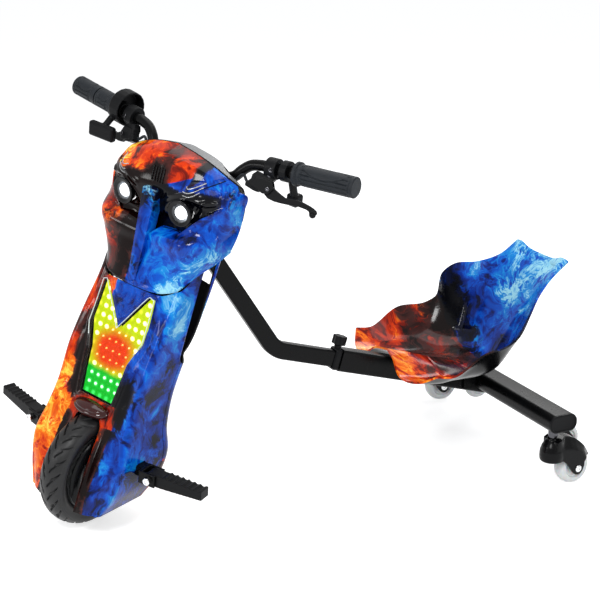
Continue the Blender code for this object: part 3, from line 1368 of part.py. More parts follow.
def make_roller(side):
    way = SIDES[side]
    axle = Vector((way * ROLLER_X, ROLLER_Y, ROLLER_Z))
    half = ROLLER_WIDTH / 2 + RUNNING
    outer_half = half + ROLLER_CHEEK
    seat = (CROSS_Y + CROSS_DEPTH / 2 - 0.004, CROSS_Z - 0.0110)
    pad = box("pad", (2 * outer_half, 0.022, 0.018), (axle.x, *seat))
    arm = plate("arm", [strap_outline((ROLLER_Y, ROLLER_Z), seat, 0.010)], outer_half)
    arm.location.x = axle.x
    saddle = plate("saddle", [racetrack(CROSS_DEPTH / 2 + FIT, CROSS_HEIGHT / 2 + FIT, (CROSS_Y, CROSS_Z))], 0.05)
    saddle.location.x = axle.x
    cavity = rod("cavity", axle - Vector((half, 0, 0)), axle + Vector((half, 0, 0)), ROLLER_RADIUS + 0.002,
                 segments=20)
    bracket = joined("bracket", [pad, arm], [saddle, cavity])
    reach = Vector((outer_half + 0.002, 0, 0))
    bracket = joined("bracket", [bracket, rod("axle", axle - reach, axle + reach, CASTER_AXLE_RADIUS, segments=16)])
    hang(bracket, side + "_roller_bracket", rear, "black_paint")
    spin = group(side + "_roller_group", axle, rear)
    wheel = turned("roller", wheel_profile(ROLLER_RADIUS, ROLLER_WIDTH, CASTER_AXLE_RADIUS + FIT), axle, (1, 0, 0),
                   steps=16, closed=True)
    hang(wheel, side + "_roller", spin, "urethane")


for each_side in SIDES:
    make_caster(each_side)
    make_roller(each_side)


# The bottom centre of the whole becomes the origin

def settle():
    bpy.context.view_layer.update()
    depsgraph = bpy.context.evaluated_depsgraph_get()
    low = Vector((math.inf,) * 3)
    high = Vector((-math.inf,) * 3)
    for piece in PARTS.objects:
        if piece.type == "EMPTY":
            continue
        mesh = piece.evaluated_get(depsgraph).to_mesh()
        for vert in mesh.vertices:
            place = piece.matrix_world @ vert.co
            low = Vector(map(min, low, place))
            high = Vector(map(max, high, place))
    root.location -= Vector(((low.x + high.x) / 2, (low.y + high.y) / 2, low.z))
    bpy.context.view_layer.update()


settle()
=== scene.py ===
# Studio picture of a child's electric drift trike: printed fairing and bucket seat, lit lamps,
# black tubes, ribbed grips and frosted casters, built round the fixed model.

import json
import math

import bmesh
import bpy
import numpy as np
from mathutils import Matrix, Quaternion, Vector


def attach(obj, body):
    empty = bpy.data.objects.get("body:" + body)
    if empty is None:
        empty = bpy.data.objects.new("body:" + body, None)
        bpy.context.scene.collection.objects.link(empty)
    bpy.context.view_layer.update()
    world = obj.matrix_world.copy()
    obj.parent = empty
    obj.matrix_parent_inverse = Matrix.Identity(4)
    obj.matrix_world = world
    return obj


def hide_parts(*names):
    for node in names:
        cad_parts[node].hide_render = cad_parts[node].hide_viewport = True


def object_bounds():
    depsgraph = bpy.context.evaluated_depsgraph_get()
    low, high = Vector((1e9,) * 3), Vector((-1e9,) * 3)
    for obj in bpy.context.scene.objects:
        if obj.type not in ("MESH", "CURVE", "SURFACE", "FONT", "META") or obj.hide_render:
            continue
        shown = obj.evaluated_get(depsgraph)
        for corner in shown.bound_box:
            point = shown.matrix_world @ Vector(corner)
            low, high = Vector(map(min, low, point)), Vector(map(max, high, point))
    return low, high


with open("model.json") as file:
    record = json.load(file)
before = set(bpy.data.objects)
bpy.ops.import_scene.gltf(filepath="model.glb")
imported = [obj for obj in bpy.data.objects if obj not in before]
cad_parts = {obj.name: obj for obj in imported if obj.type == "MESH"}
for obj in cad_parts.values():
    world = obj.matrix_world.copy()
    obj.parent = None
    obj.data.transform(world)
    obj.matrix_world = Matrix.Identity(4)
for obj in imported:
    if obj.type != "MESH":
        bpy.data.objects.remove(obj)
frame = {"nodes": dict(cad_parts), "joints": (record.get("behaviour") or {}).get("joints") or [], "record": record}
CAD_BOX = [list(corner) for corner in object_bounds()]
NODES = frame["nodes"]
JOINTS = {joint["name"]: joint for joint in frame["joints"]}

# The drawing frame: front wheel on the ground at the origin, as the tables of points below use it
WHEEL_RADIUS = 0.1
HUB = Vector((0.0, 0.0, WHEEL_RADIUS))
SHIFT = Vector(JOINTS["steering_turn"]["pos_m"]) - HUB
STEER_UP = Vector(JOINTS["steering_turn"]["axis"]).normalized()
REST_STEER = math.radians(27.1)
TO_FRONT = (Matrix.Translation(SHIFT + HUB) @ Matrix.Rotation(REST_STEER, 4, STEER_UP)
            @ Matrix.Translation(-HUB))
TO_REAR = Matrix.Translation(SHIFT)
SIDES = {"left": 1, "right": -1}


# Camera, floor and light

CAMERA_TURN = math.radians(63.7774)
CAMERA_RISE = math.radians(17.876)
CAMERA_AT = Vector((2.2381, -0.7156, 1.1371))
CAMERA_LENS = 91.885
SENSOR_WIDTH = 36.0
CAMERA_REACH = 50.0


def linked(name, data):
    made = bpy.data.objects.new(name, data)
    bpy.context.scene.collection.objects.link(made)
    return made


def aimed(name, data, place, way):
    # a camera or a light at a place, looking along a way
    made = linked(name, data)
    made.location = place
    made.rotation_mode = "QUATERNION"
    made.rotation_quaternion = Vector(way).to_track_quat("-Z", "Y")
    return made


def add_camera():
    level = math.cos(CAMERA_RISE)
    back = Vector((math.sin(CAMERA_TURN) * level, -math.cos(CAMERA_TURN) * level, math.sin(CAMERA_RISE)))
    camera = aimed("camera", bpy.data.cameras.new("camera"), CAMERA_AT + SHIFT, -back)
    camera.data.lens = CAMERA_LENS
    camera.data.sensor_width = SENSOR_WIDTH
    camera.data.clip_end = CAMERA_REACH
    bpy.context.scene.camera = camera


# Shader maths: a socket with the operators that the materials use

class Value:
    def __init__(self, tree, socket):
        self.tree = tree
        self.socket = socket

    def _math(self, operation, other=None, swap=False, clamp=False):
        node = self.tree.nodes.new("ShaderNodeMath")
        node.operation = operation
        node.use_clamp = clamp
        pair = (other, self) if swap else (self, other)
        for socket, value in zip(node.inputs, pair):
            if value is not None:
                plug(self.tree, value, socket)
        return Value(self.tree, node.outputs[0])

    def __add__(self, other):
        return self._math("ADD", other)

    __radd__ = __add__

    def __mul__(self, other):
        return self._math("MULTIPLY", other)

    __rmul__ = __mul__

    def __sub__(self, other):
        return self._math("SUBTRACT", other)

    def __rsub__(self, other):
        return self._math("SUBTRACT", other, swap=True)

    def __truediv__(self, other):
        return self._math("DIVIDE", other)

    def __pow__(self, other):
        return self._math("POWER", other)

    def clamp(self):
        return self._math("ADD", 0.0, clamp=True)

    def abs(self):
        return self._math("ABSOLUTE")

    def low(self, other):
        return self._math("MINIMUM", other)

    def sine(self):
        return self._math("SINE")

    def cosine(self):
        return self._math("COSINE")


def plug(tree, value, socket):
    if isinstance(value, Value):
        tree.links.new(value.socket, socket)
    else:
        socket.default_value = value


def rgba(value):
    # a colour of three numbers with its opacity; anything else as it is
    return (*value, 1.0) if isinstance(value, tuple) and len(value) == 3 else value


class Finish:
    # one material: its node tree, and the short ways the finishes use to fill it
    def __init__(self, name, roughness=0.5, metallic=0.0, **fixed):
        self.material = bpy.data.materials.new(name)
        self.material.use_nodes = True
        self.tree = self.material.node_tree
        self.shader = self.tree.nodes["Principled BSDF"]
        self.set("Roughness", roughness)
        self.set("Metallic", metallic)
        for socket, value in fixed.items():
            self.set(socket.replace("_", " "), value)

    def set(self, socket, value):
        plug(self.tree, rgba(value), self.shader.inputs[socket])
        return self

    def node(self, kind, output=0, settings=None, **inputs):
        # inputs go by name, or as i and their number
        node = self.tree.nodes.new("ShaderNode" + kind)
        for key, value in (settings or {}).items():
            setattr(node, key, value)
        for key, value in inputs.items():
            place = int(key[1:]) if key[1:].isdigit() else key.replace("_", " ")
            plug(self.tree, value, node.inputs[place])
        return Value(self.tree, node.outputs[output])

    def place(self, matrix=None):
        # Object coordinates, or those of the drawing frame when its matrix is given
        where = self.node("TexCoord", output=3)
        if matrix is None:
            return where
        back = matrix.inverted()
        return self.node("Mapping", Vector=where, Location=back.to_translation(), Rotation=back.to_euler())

    def axis(self, vector, i):
        return self.node("SeparateXYZ", output=i, Vector=vector)

    def noise(self, vector, scale, detail=3.0, roughness=0.55, output=0):
        return self.node("TexNoise", output=output, Vector=vector, Scale=scale, Detail=detail,
                         Roughness=roughness)

    def mix(self, factor, first, second):
        return self.node("Mix", output=2, settings={"data_type": "RGBA"}, i0=factor, i6=rgba(first),
                         i7=rgba(second))

    def step(self, value, low, high):
        # 0 below low, 1 above high, eased between
        return self.node("MapRange", settings={"interpolation_type": "SMOOTHSTEP"}, Value=value, From_Min=low,
                         From_Max=high)

    def bent(self, where, scale, amount):
        # coordinates pushed about by a slow noise
        push = self.noise(where, scale, detail=2.0, output=1)
        middle = tuple(-value / 2 for value in amount)
        moved = self.node("VectorMath", settings={"operation": "MULTIPLY_ADD"}, i0=push, i1=amount, i2=where)
        return self.node("VectorMath", settings={"operation": "ADD"}, i0=moved, i1=middle)

    def stretched(self, where, factors):
        return self.node("VectorMath", settings={"operation": "MULTIPLY"}, i0=where, i1=factors)

    def ramp(self, value, stops):
        colours = self.node("ValToRGB", Fac=value)
        elements = colours.socket.node.color_ramp.elements
        while len(elements) < len(stops):
            elements.new(0.5)
        for element, (place, colour) in zip(elements, stops):
            element.position = place
            element.color = rgba(colour)
        return colours

    def tone(self, i):
        # the painter's guide that a shell carries: warmth, darkness, lightness; in places its darkness is painted
        # shade and its lightness a painted highlight
        guide = self.node("Attribute", settings={"attribute_name": "tone"})
        return self.node("SeparateColor", output=i, Color=guide)

    def glow(self, colour, strength):
        self.set("Emission Color", colour)
        return self.set("Emission Strength", strength)

    def bump(self, height, distance):
        return self.set("Normal", self.node("Bump", Height=height, Distance=distance, Strength=1.0))


# Finishes

COOL = ((0.0, (0.001, 0.002, 0.006)), (0.22, (0.001, 0.005, 0.045)), (0.4, (0.001, 0.024, 0.26)),
        (0.6, (0.001, 0.085, 0.56)), (0.8, (0.006, 0.27, 0.7)), (1.0, (0.33, 0.7, 0.86)))
WARM = ((0.0, (0.004, 0.001, 0.001)), (0.22, (0.03, 0.002, 0.001)), (0.42, (0.24, 0.008, 0.001)),
        (0.6, (0.68, 0.04, 0.002)), (0.79, (0.98, 0.21, 0.006)), (1.0, (1.0, 0.7, 0.08)))
# Cool and warm colours of the sooty places of the print, which also serve as painted shade where a shell's guide
# darkens a hollow: the darker and the lighter of what glows, and what lies under it
CHARRED = (((0.0008, 0.0012, 0.004), (0.022, 0.005, 0.0045)), ((0.001, 0.005, 0.042), (0.085, 0.02, 0.016)),
           ((0.0008, 0.001, 0.0024), (0.005, 0.0011, 0.001)))


def printed(name, matrix, grain=1.0):
    # glossy printed moulding: drifting smoke on the cool side, tongues of fire on the warm one
    finish = Finish(name, Specular_IOR_Level=0.19)
    where = finish.place(matrix)
    drift = finish.bent(where, 11.0 * grain, (0.085, 0.085, 0.085))
    curl = finish.bent(drift, 34.0 * grain, (0.026, 0.026, 0.04))
    broad = finish.noise(curl, 17.0 * grain)
    fine = finish.noise(finish.stretched(curl, (1.0, 1.0, 0.62)), 58.0 * grain, detail=4.0, roughness=0.6)
    wisp = (1.0 - (fine * 2.0 - 1.0).abs() * 2.6).clamp() ** 3.0
    thin = finish.noise(curl, 95.0 * grain, detail=2.0)
    threads = (1.0 - (thin * 2.0 - 1.0).abs() * 5.0).clamp() ** 2.0
    warmth, darkness, lightness = (finish.tone(i) for i in range(3))
    # the guide's lightness brightens the print, and is a painted highlight on the fin's top and on the swelling
    # beside the near eye
    level = (broad - 0.5) * 1.5 + (fine - 0.5) * 0.8 + 0.4 + lightness * 0.36
    level = level + wisp * (0.07 + lightness * 0.3)
    level = level + threads * (0.05 + lightness * 0.34) * finish.step(broad, 0.4, 0.6)
    edge = finish.step(warmth + (broad - 0.5) * 0.9 + (fine - 0.5) * 0.5, 0.44, 0.56)
    colour = finish.mix(edge, finish.ramp(level.clamp(), COOL), finish.ramp((level + 0.03).clamp(), WARM))
    # the guide's darkness marks the print's charred patches, and on the cowl the painted shade of the hollow over
    # the face
    char_and_shade = darkness * 1.25 + (finish.noise(curl, 21.0 * grain) - 0.5) * 1.3 - wisp * 0.12
    ash, smoulder, under = (finish.mix(edge, cool, warm) for cool, warm in CHARRED)
    smoulder = finish.mix((fine * 2.0 - 0.55).clamp(), ash, smoulder)
    colour = finish.mix(finish.step(char_and_shade, 0.34, 0.54), colour, smoulder)
    finish.set("Base Color", finish.mix(finish.step(char_and_shade, 0.58, 0.76), colour, under))
    finish.set("Roughness", 0.09 + finish.noise(where, 40.0) * 0.06)
    return finish.bump(finish.noise(where, 300.0, detail=2.0), 0.00006)


def shades(tint, gain):
    return tint, tuple(value * gain for value in tint)


def mottled(name, tones, cloud, rough, grain, bend=None, **fixed):
    # two tones mixed by a cloud of noise (scale, detail), which also sets the roughness (least, range), and a
    # fine grain (scale, detail, depth); bend pushes the cloud's coordinates (scale, amount)
    finish = Finish(name, **fixed)
    where = finish.place()
    speckle = finish.noise(finish.bent(where, bend[0], (bend[1],) * 3) if bend else where, *cloud)
    finish.set("Base Color", finish.mix(speckle, *tones))
    finish.set("Roughness", rough[0] + speckle * rough[1])
    return finish.bump(finish.noise(where, grain[0], grain[1]), grain[2])


def black_gloss(name, tint=(0.0012, 0.0013, 0.0016), rough=0.22, shine=0.13):
    # glossy injection-moulded black with faint swirls of handling
    return mottled(name, shades(tint, 2.2), (60.0, 4.0), (rough - 0.06, 0.14), (420.0, 2.0, 0.00005),
                   bend=(20.0, 0.03), Specular_IOR_Level=shine)


def black_satin(name, tint=(0.003, 0.0032, 0.0037), rough=0.36, grain=900.0, depth=0.00009):
    # satin paint or fine-grained moulding, a little duller where dust settles
    return mottled(name, shades(tint, 1.9), (26.0, 4.0), (rough - 0.05, 0.13), (grain, 2.0, depth),
                   Specular_IOR_Level=0.11)


def metal_finish(name, tint, rough=0.22, streak=1.0):
    finish = Finish(name, metallic=1.0)
    lines = finish.noise(finish.stretched(finish.place(), (1.0, 1.0, 9.0)), 260.0)
    finish.set("Base Color", finish.mix(lines, tuple(value * 0.72 for value in tint), tint))
    finish.set("Roughness", rough + (lines - 0.5) * 0.22 * streak)
    return finish.bump(lines, 0.00004)


def clear_finish(name):
    # thin clear moulding, whiter where it is seen edge-on, a painted reflection: the whitish colour grows more
    # opaque at grazing view
    finish = Finish(name)
    facing = finish.node("LayerWeight", output=1, Blend=0.35)
    haze = finish.noise(finish.place(), 90.0, detail=4.0)
    finish.set("Base Color", finish.mix(haze, (0.3, 0.34, 0.38), (0.6, 0.64, 0.68)))
    finish.set("Alpha", (haze * 0.012 + facing ** 5.0 * 0.28).clamp())
    return finish.set("Roughness", 0.03 + haze * 0.05)


def lens_edge_finish(name):
    # the moulded rim of the lens, painted white with a faint glow that stands for the reflections along its edges
    finish = Finish(name, roughness=0.25)
    streak = finish.noise(finish.place(), 260.0, detail=4.0)
    finish.set("Base Color", finish.mix(streak, (0.55, 0.62, 0.68), (0.92, 0.95, 0.97)))
    finish.set("Alpha", (0.3 + streak * 0.55).clamp())
    return finish.glow(finish.mix(streak, (0.05, 0.08, 0.08), (0.22, 0.26, 0.24)), 1.0)


def heart_reach(finish, where):
    # how far a place lies from the middle of the Y, nearer across than up
    across, up = finish.axis(where, 0), finish.axis(where, 2) - LED_ROW
    return (across * across * 0.55 + up * up) ** 0.5


def lamp_zones(finish, where, stem, arms, heart):
    # the three colours of the Y lamp by their place on the front
    ripple = (finish.noise(where, 45.0) - 0.5) * 0.01
    glow = finish.mix(finish.step(heart_reach(finish, where) + ripple, 0.018, 0.042), heart, arms)
    return finish.mix(finish.step(finish.axis(where, 2) + ripple, 0.262, 0.272), stem, glow)


def lamp_board_finish(name):
    # the board lights up in spots over its LEDs, less round the heart
    finish = Finish(name, roughness=0.6, Specular_IOR_Level=0.02)
    where = finish.place(TO_FRONT)
    pitch = math.tau / LED_PITCH
    columns = (finish.axis(where, 0) * pitch).cosine() * 0.5 + 0.5
    rows = ((finish.axis(where, 2) - LED_ROW) * pitch).cosine() * 0.5 + 0.5
    board = finish.noise(where, 220.0, detail=4.0)
    finish.set("Base Color", finish.mix(board, (0.004, 0.004, 0.004), (0.012, 0.014, 0.012)))
    zones = lamp_zones(finish, where, (0.001, 0.56, 0.02), (0.62, 0.8, 0.0), (0.9, 0.045, 0.0))
    halo = lamp_zones(finish, where, (0.06, 1.0, 0.16), (0.95, 1.0, 0.05), (1.0, 0.2, 0.005))
    zones = finish.mix((board * 1.2 - 0.2).clamp(), finish.mix(0.35, zones, (0.0, 0.0, 0.0)), zones)
    calm = 1.0 - finish.step(heart_reach(finish, where), 0.024, 0.04)
    finish.glow(finish.mix(((columns * rows) ** 1.6 * (1.0 - calm * 0.85)).clamp(), zones, halo), 1.25)
    return finish.bump(board, 0.0001)


def led_finish(name):
    finish = Finish(name, roughness=0.4, Specular_IOR_Level=0.05)
    where = finish.place(TO_FRONT)
    zones = lamp_zones(finish, where, (0.45, 1.0, 0.5), (1.0, 1.0, 0.42), (1.0, 0.36, 0.08))
    finish.set("Base Color", zones)
    return finish.glow(zones, 1.3).bump(finish.noise(where, 600.0), 0.00005)


def white_led_finish(name):
    finish = Finish(name, roughness=0.15, Base_Color=(0.9, 0.94, 1.0))
    cells = finish.noise(finish.place(), 500.0)
    return finish.glow(finish.mix(cells, (0.86, 0.93, 1.0), (1.0, 1.0, 1.0)), 3.0)


def glowing_bowl(name):
    # smoked plating whose emission paints the headlight's light reflected in it, a painted glow brightest at the
    # LED
    finish = Finish(name, roughness=0.12, Specular_IOR_Level=0.2)
    where = finish.place(TO_FRONT)
    aside = finish.axis(where, 0).abs() - POD[0]
    up = finish.axis(where, 2) - POD[2]
    reach = (aside * aside + up * up) ** 0.5
    rings = (reach * 2600.0).sine() * 0.5 + 0.5
    finish.set("Base Color", finish.mix(rings, (0.0015, 0.0016, 0.002), (0.006, 0.0065, 0.008)))
    # painted glow: strongest next to the LED, gone towards the rim
    near = (1.0 - finish.step(reach, LED_RADIUS * 0.96, POD_RADIUS * 0.74)) ** 4.0
    finish.glow(finish.mix(near, (0.0, 0.0, 0.0), (0.85, 0.92, 1.0)), 0.9)
    return finish.bump(rings, 0.00005)


def wrap_finish(name):
    finish = Finish(name, roughness=0.35)
    crinkle = finish.noise(finish.bent(finish.place(), 30.0, (0.02, 0.02, 0.02)), 90.0, detail=4.0)
    finish.set("Base Color", finish.mix(crinkle, (0.02, 0.045, 0.12), (0.04, 0.08, 0.2)))
    return finish.bump(crinkle, 0.0004)


LED_PITCH = 0.0145
LED_ROW = 0.3
POD = (0.0615, 0.106, 0.543)
POD_WAY = (0.1, -1.0, -0.06)
POD_RADIUS = 0.024
POD_DEPTH = 0.02
LED_RADIUS = 0.011
GLOW_RADIUS = 0.0104

FINISHES = {
    "print_front": printed("printed_fairing", TO_FRONT),
    "print_seat": printed("printed_seat", TO_REAR, grain=1.05),
    "shell_black": black_gloss("glossy_black_shell", rough=0.2),
    "hood_black": black_gloss("caster_hood_black", rough=0.24),
    "nose": black_gloss("dark_red_nose", tint=(0.02, 0.0012, 0.001), rough=0.07, shine=0.42),
    "paint": black_satin("satin_black_paint", tint=(0.0016, 0.0017, 0.0019), rough=0.26, grain=500.0,
                         depth=0.00005),
    "plastic": black_satin("grained_black_plastic", rough=0.42),
    "inside": black_satin("shell_inside_black", tint=(0.01, 0.01, 0.011), rough=0.55),
    "rubber": mottled("grip_rubber", shades((0.0062, 0.008, 0.0104), 2.1), (55.0, 4.0), (0.4, 0.2),
                      (1300.0, 2.0, 0.00012), Specular_IOR_Level=0.22),
    "tread": mottled("tyre_rubber", ((0.004, 0.0041, 0.0044), (0.015, 0.0152, 0.016)), (60.0, 5.0),
                     (0.3, 0.25), (1000.0, 3.0, 0.00015), Specular_IOR_Level=0.34),
    "steel": metal_finish("zinc_plated_steel", (0.7, 0.71, 0.72)),
    "chrome": metal_finish("bright_plating", (0.86, 0.87, 0.88), rough=0.07, streak=0.3),
    "dark_steel": metal_finish("blackened_steel", (0.1, 0.1, 0.11), rough=0.25),
    "bowl": glowing_bowl("smoked_reflector"),
    "cast": metal_finish("cast_aluminium", (0.42, 0.43, 0.44), rough=0.42),
    # cast urethane: milky, with faint flow marks
    "urethane": mottled("frosted_urethane", ((0.66, 0.68, 0.69), (0.86, 0.87, 0.87)), (120.0, 4.0),
                        (0.24, 0.26),
                        (700.0, 3.0, 0.00008), bend=(60.0, 0.01), Specular_IOR_Level=0.45,
                        Subsurface_Weight=0.25, Subsurface_Scale=0.004),
    "clear": clear_finish("clear_lens"),
    "lens_edge": lens_edge_finish("lens_edge"),
    "board": lamp_board_finish("lit_lamp_board"),
    "led": led_finish("lit_lamp_leds"),
    "white_led": white_led_finish("white_headlight"),
    "grey": mottled("pale_grey_panel", ((0.15, 0.155, 0.16), (0.23, 0.235, 0.24)), (30.0, 4.0), (0.36, 0.16),
                    (900.0, 3.0, 0.0001), Specular_IOR_Level=0.3),
    "wrap": wrap_finish("cell_wrap"),
    "red_button": black_gloss("red_button", tint=(0.3, 0.01, 0.008), rough=0.25),
}

SLOT_FINISH = {"black_paint": "paint", "black_plastic": "plastic", "rubber": "rubber", "tyre": "tread",
               "steel": "steel", "print": "print_front", "print_fire": "print_front", "clear": "clear",
               "lamp": "board", "lamp_white": "white_led", "reflector": "chrome", "urethane": "urethane",
               "grey_panel": "grey", "battery_wrap": "wrap", "aluminium": "cast"}


def dress_nodes():
    # every carried-over piece takes the finish of its slot
    for subpart in frame["record"]["subparts"]:
        node = subpart["node"]
        name = SLOT_FINISH[subpart["material_slot"]]
        if node == "horn_button":
            name = "red_button"
        if node.endswith("_caster_stem"):
            name = "dark_steel"
        materials = NODES[node].data.materials
        materials.clear()
        materials.append(FINISHES[name].material)


# Shapes: curves, skins and solids of revolution

SHEET_WELD = 0.00002
SWEPT_WELD = 0.000005
GRID_WELD = 0.000002
FINE_WELD = 0.000001

def ease(value, low, high):
    t = np.clip((value - low) / (high - low), 0.0, 1.0)
    return t * t * (3 - 2 * t)


def bell(value, width):
    return np.exp(-(value / width) ** 2)


def hermite(t, length, start, end, start_slope, end_slope):
    return ((2 * t**3 - 3 * t**2 + 1) * start + (t**3 - 2 * t**2 + t) * length * start_slope
            + (3 * t**2 - 2 * t**3) * end + (t**3 - t**2) * length * end_slope)


def through(points, count):
    # an even-stepped smooth curve through the given points
    points = np.array(points, dtype=float)
    gaps = np.linalg.norm(np.diff(points, axis=0), axis=1)
    knots = np.concatenate(([0.0], np.cumsum(gaps)))
    slopes = np.gradient(points, knots, axis=0)
    place = np.linspace(0.0, knots[-1], count)
    i = np.clip(np.searchsorted(knots, place, side="right") - 1, 0, len(points) - 2)
    length = knots[i + 1] - knots[i]
    t = ((place - knots[i]) / length)[:, None]
    return hermite(t, length[:, None], points[i], points[i + 1], slopes[i], slopes[i + 1])


def skin(ribs, across, along, dense=(0.0, 1.0)):
    # points of a smooth sheet through the ribs, row by row, three times as close between the dense shares
    fine = np.linspace(0.0, 1.0, 2000)
    weight = np.cumsum(np.where((fine > dense[0]) & (fine < dense[1]), 3.0, 1.0))
    shares = np.interp(np.linspace(weight[0], weight[-1], across), weight, fine)
    rows = []
    for rib in ribs:
        line = through(rib, 400)
        rows.append(np.stack([np.interp(shares, np.linspace(0.0, 1.0, 400), line[:, k]) for k in range(3)],
                             axis=1))
    rows = np.array(rows)
    return np.array([through(rows[:, i], along) for i in range(across)]).transpose(1, 0, 2)


def outward(grid, inside):
    normal = np.cross(np.gradient(grid, axis=1), np.gradient(grid, axis=0))
    normal /= np.linalg.norm(normal, axis=2, keepdims=True) + 1e-12
    return normal * np.sign(np.sum(normal * (grid - np.array(inside)), axis=2).mean())


def grid_faces(rows, columns):
    return [(j * columns + i, j * columns + i + 1, (j + 1) * columns + i + 1, (j + 1) * columns + i)
            for j in range(rows - 1) for i in range(columns - 1)]


def ring_faces(rings, steps, loop=False):
    # quads between closed rings of points, and from the last ring to the first when they loop
    return [(j * steps + i, j * steps + (i + 1) % steps, (j + 1) % rings * steps + (i + 1) % steps,
             (j + 1) % rings * steps + i) for j in range(rings if loop else rings - 1) for i in range(steps)]


def end_faces(rings, steps):
    return [tuple(range(steps)), tuple(range((rings - 1) * steps, rings * steps))]


def circle(radius, steps):
    return [(radius * math.cos(a), radius * math.sin(a))
            for a in np.linspace(0, math.tau, steps, endpoint=False)]


def outline_distance(points, outline):
    # how far outside a closed outline each point lies, below zero inside it
    start = np.array(outline, dtype=float)
    end = np.roll(start, -1, axis=0)
    way = end - start
    offset = points[:, None, :] - start[None]
    share = np.clip((offset * way).sum(2) / ((way * way).sum(1) + 1e-15), 0.0, 1.0)
    gap = np.linalg.norm(offset - share[:, :, None] * way, axis=2).min(1)
    above = (start[None, :, 1] > points[:, None, 1]) != (end[None, :, 1] > points[:, None, 1])
    with np.errstate(divide="ignore", invalid="ignore"):
        rise = end[:, 1] - start[:, 1]
        cross = (end[:, 0] - start[:, 0]) * (points[:, None, 1] - start[:, 1]) / rise + start[:, 0]
    inside = (above & (points[:, None, 0] < cross)).sum(1) % 2 == 1
    return np.where(inside, -gap, gap)


def pierce(verts, faces, distance):
    # opens a sheet where distance is below zero and slides the rim onto the edge
    away = distance(verts)
    inside = away < 0
    kept = [face for face in faces if not all(inside[i] for i in face)]
    moves = {}
    for face in kept:
        for a in face:
            if inside[a]:
                for b in face:
                    if not inside[b]:
                        share = away[a] / (away[a] - away[b])
                        reach = share * np.linalg.norm(verts[b] - verts[a])
                        if a not in moves or reach < moves[a][0]:
                            moves[a] = (reach, verts[a] + share * (verts[b] - verts[a]))
    verts = verts.copy()
    for a, (reach, place) in moves.items():
        verts[a] = place
    return verts, kept


def only(piece):
    bpy.ops.object.select_all(action="DESELECT")
    piece.select_set(True)
    bpy.context.view_layer.objects.active = piece


def primitive(add, name, **settings):
    bpy.ops.object.select_all(action="DESELECT")
    add(**settings)
    piece = bpy.context.object
    piece.name = name
    return piece


def add_step(piece, kind, **settings):
    step = piece.modifiers.new(kind.lower(), kind)
    for key, value in settings.items():
        setattr(step, key, value)


def apply_all(piece):
    only(piece)
    for modifier in list(piece.modifiers):
        bpy.ops.object.modifier_apply(modifier=modifier.name)


def grown(piece, voxel, soften):
    # built again on a grid of cells, then relaxed
    add_step(piece, "REMESH", mode="VOXEL", voxel_size=voxel)
    add_step(piece, "SMOOTH", factor=0.5, iterations=soften)
    apply_all(piece)


def joined(name, pieces):
    only(pieces[0])
    for piece in pieces[1:]:
        piece.select_set(True)
    bpy.ops.object.join()
    pieces[0].name = name
    return pieces[0]


def places_of(piece):
    return np.array([vert.co for vert in piece.data.vertices])


def put_places(piece, places):
    piece.data.vertices.foreach_set("co", places.astype(np.float32).ravel())


def paint_tone(piece, tone):
    # the guide that the printed finishes read
    places = places_of(piece)
    colours = np.ones((len(places), 4))
    colours[:, :3] = np.clip(tone(*places.T), 0.0, 1.0).T
    layer = piece.data.color_attributes.new("tone", "FLOAT_COLOR", "POINT")
    layer.data.foreach_set("color", colours.astype(np.float32).ravel())


def mesh_piece(name, verts, faces):
    mesh = bpy.data.meshes.new(name)
    mesh.from_pydata([tuple(vert) for vert in verts], [], [tuple(face) for face in faces])
    return linked(name, mesh)


def weld(piece, distance=SHEET_WELD, turn=True):
    # points closer than the distance become one; stray points go
    shape = bmesh.new()
    shape.from_mesh(piece.data)
    bmesh.ops.remove_doubles(shape, verts=shape.verts, dist=distance)
    loose = [vert for vert in shape.verts if not vert.link_faces]
    bmesh.ops.delete(shape, geom=loose, context="VERTS")
    if turn:
        bmesh.ops.recalc_face_normals(shape, faces=shape.faces)
    shape.to_mesh(piece.data)
    shape.free()


def settle(piece, matrix, body, slot, *finishes, replaces=(), angle=35):
    # puts a piece where it belongs: place in its mesh, finish, body and the nodes it stands for; the slot is not
    # used
    if matrix is not None:
        piece.data.transform(matrix)
    put_places(piece, np.clip(places_of(piece), CAD_BOX[0], CAD_BOX[1]))
    piece.data.update()
    for finish in finishes:
        piece.data.materials.append(FINISHES[finish].material)
    piece.data.shade_smooth()
    piece.data.set_sharp_from_angle(angle=math.radians(angle))
    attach(piece, body)
    if replaces:
        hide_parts(*replaces)


def shell(name, verts, faces, wall, inside, finishes, tone=None, even=True):
    # the other half of a half sheet, then its wall; the lining takes the second finish
    count = len(verts)
    both = np.concatenate((verts, verts * np.array((-1.0, 1.0, 1.0))))
    faces = [tuple(face) for face in faces] + [tuple(i + count for i in reversed(face)) for face in faces]
    piece = mesh_piece(name, both, faces)
    weld(piece, turn=False)
    if sum(face.normal.dot(face.center - Vector(inside)) for face in piece.data.polygons) < 0:
        piece.data.flip_normals()
    add_step(piece, "SOLIDIFY", thickness=wall, offset=-1.0, use_even_offset=even, thickness_clamp=0.0,
             material_offset=1, material_offset_rim=1)
    for finish in finishes:
        piece.data.materials.append(FINISHES[finish].material)
    apply_all(piece)
    if tone:
        paint_tone(piece, tone)
    return piece


def lathe(name, profile, centre, way, steps=64, closed=True):
    # a solid of revolution: profile points are (radius, distance along the axis)
    turn = Vector((0, 0, 1)).rotation_difference(Vector(way)).to_matrix()
    angles = np.linspace(0.0, math.tau, steps, endpoint=False)
    verts = [turn @ Vector((radius * math.cos(a), radius * math.sin(a), along)) + Vector(centre)
             for radius, along in profile for a in angles]
    piece = mesh_piece(name, verts, ring_faces(len(profile), steps, loop=closed))
    weld(piece, SWEPT_WELD)
    return piece


def rod(name, radius, low, high, centre, way, steps):
    return lathe(name, [(0.0, low), (radius, low), (radius, high), (0.0, high)], centre, way, steps,
                 closed=False)


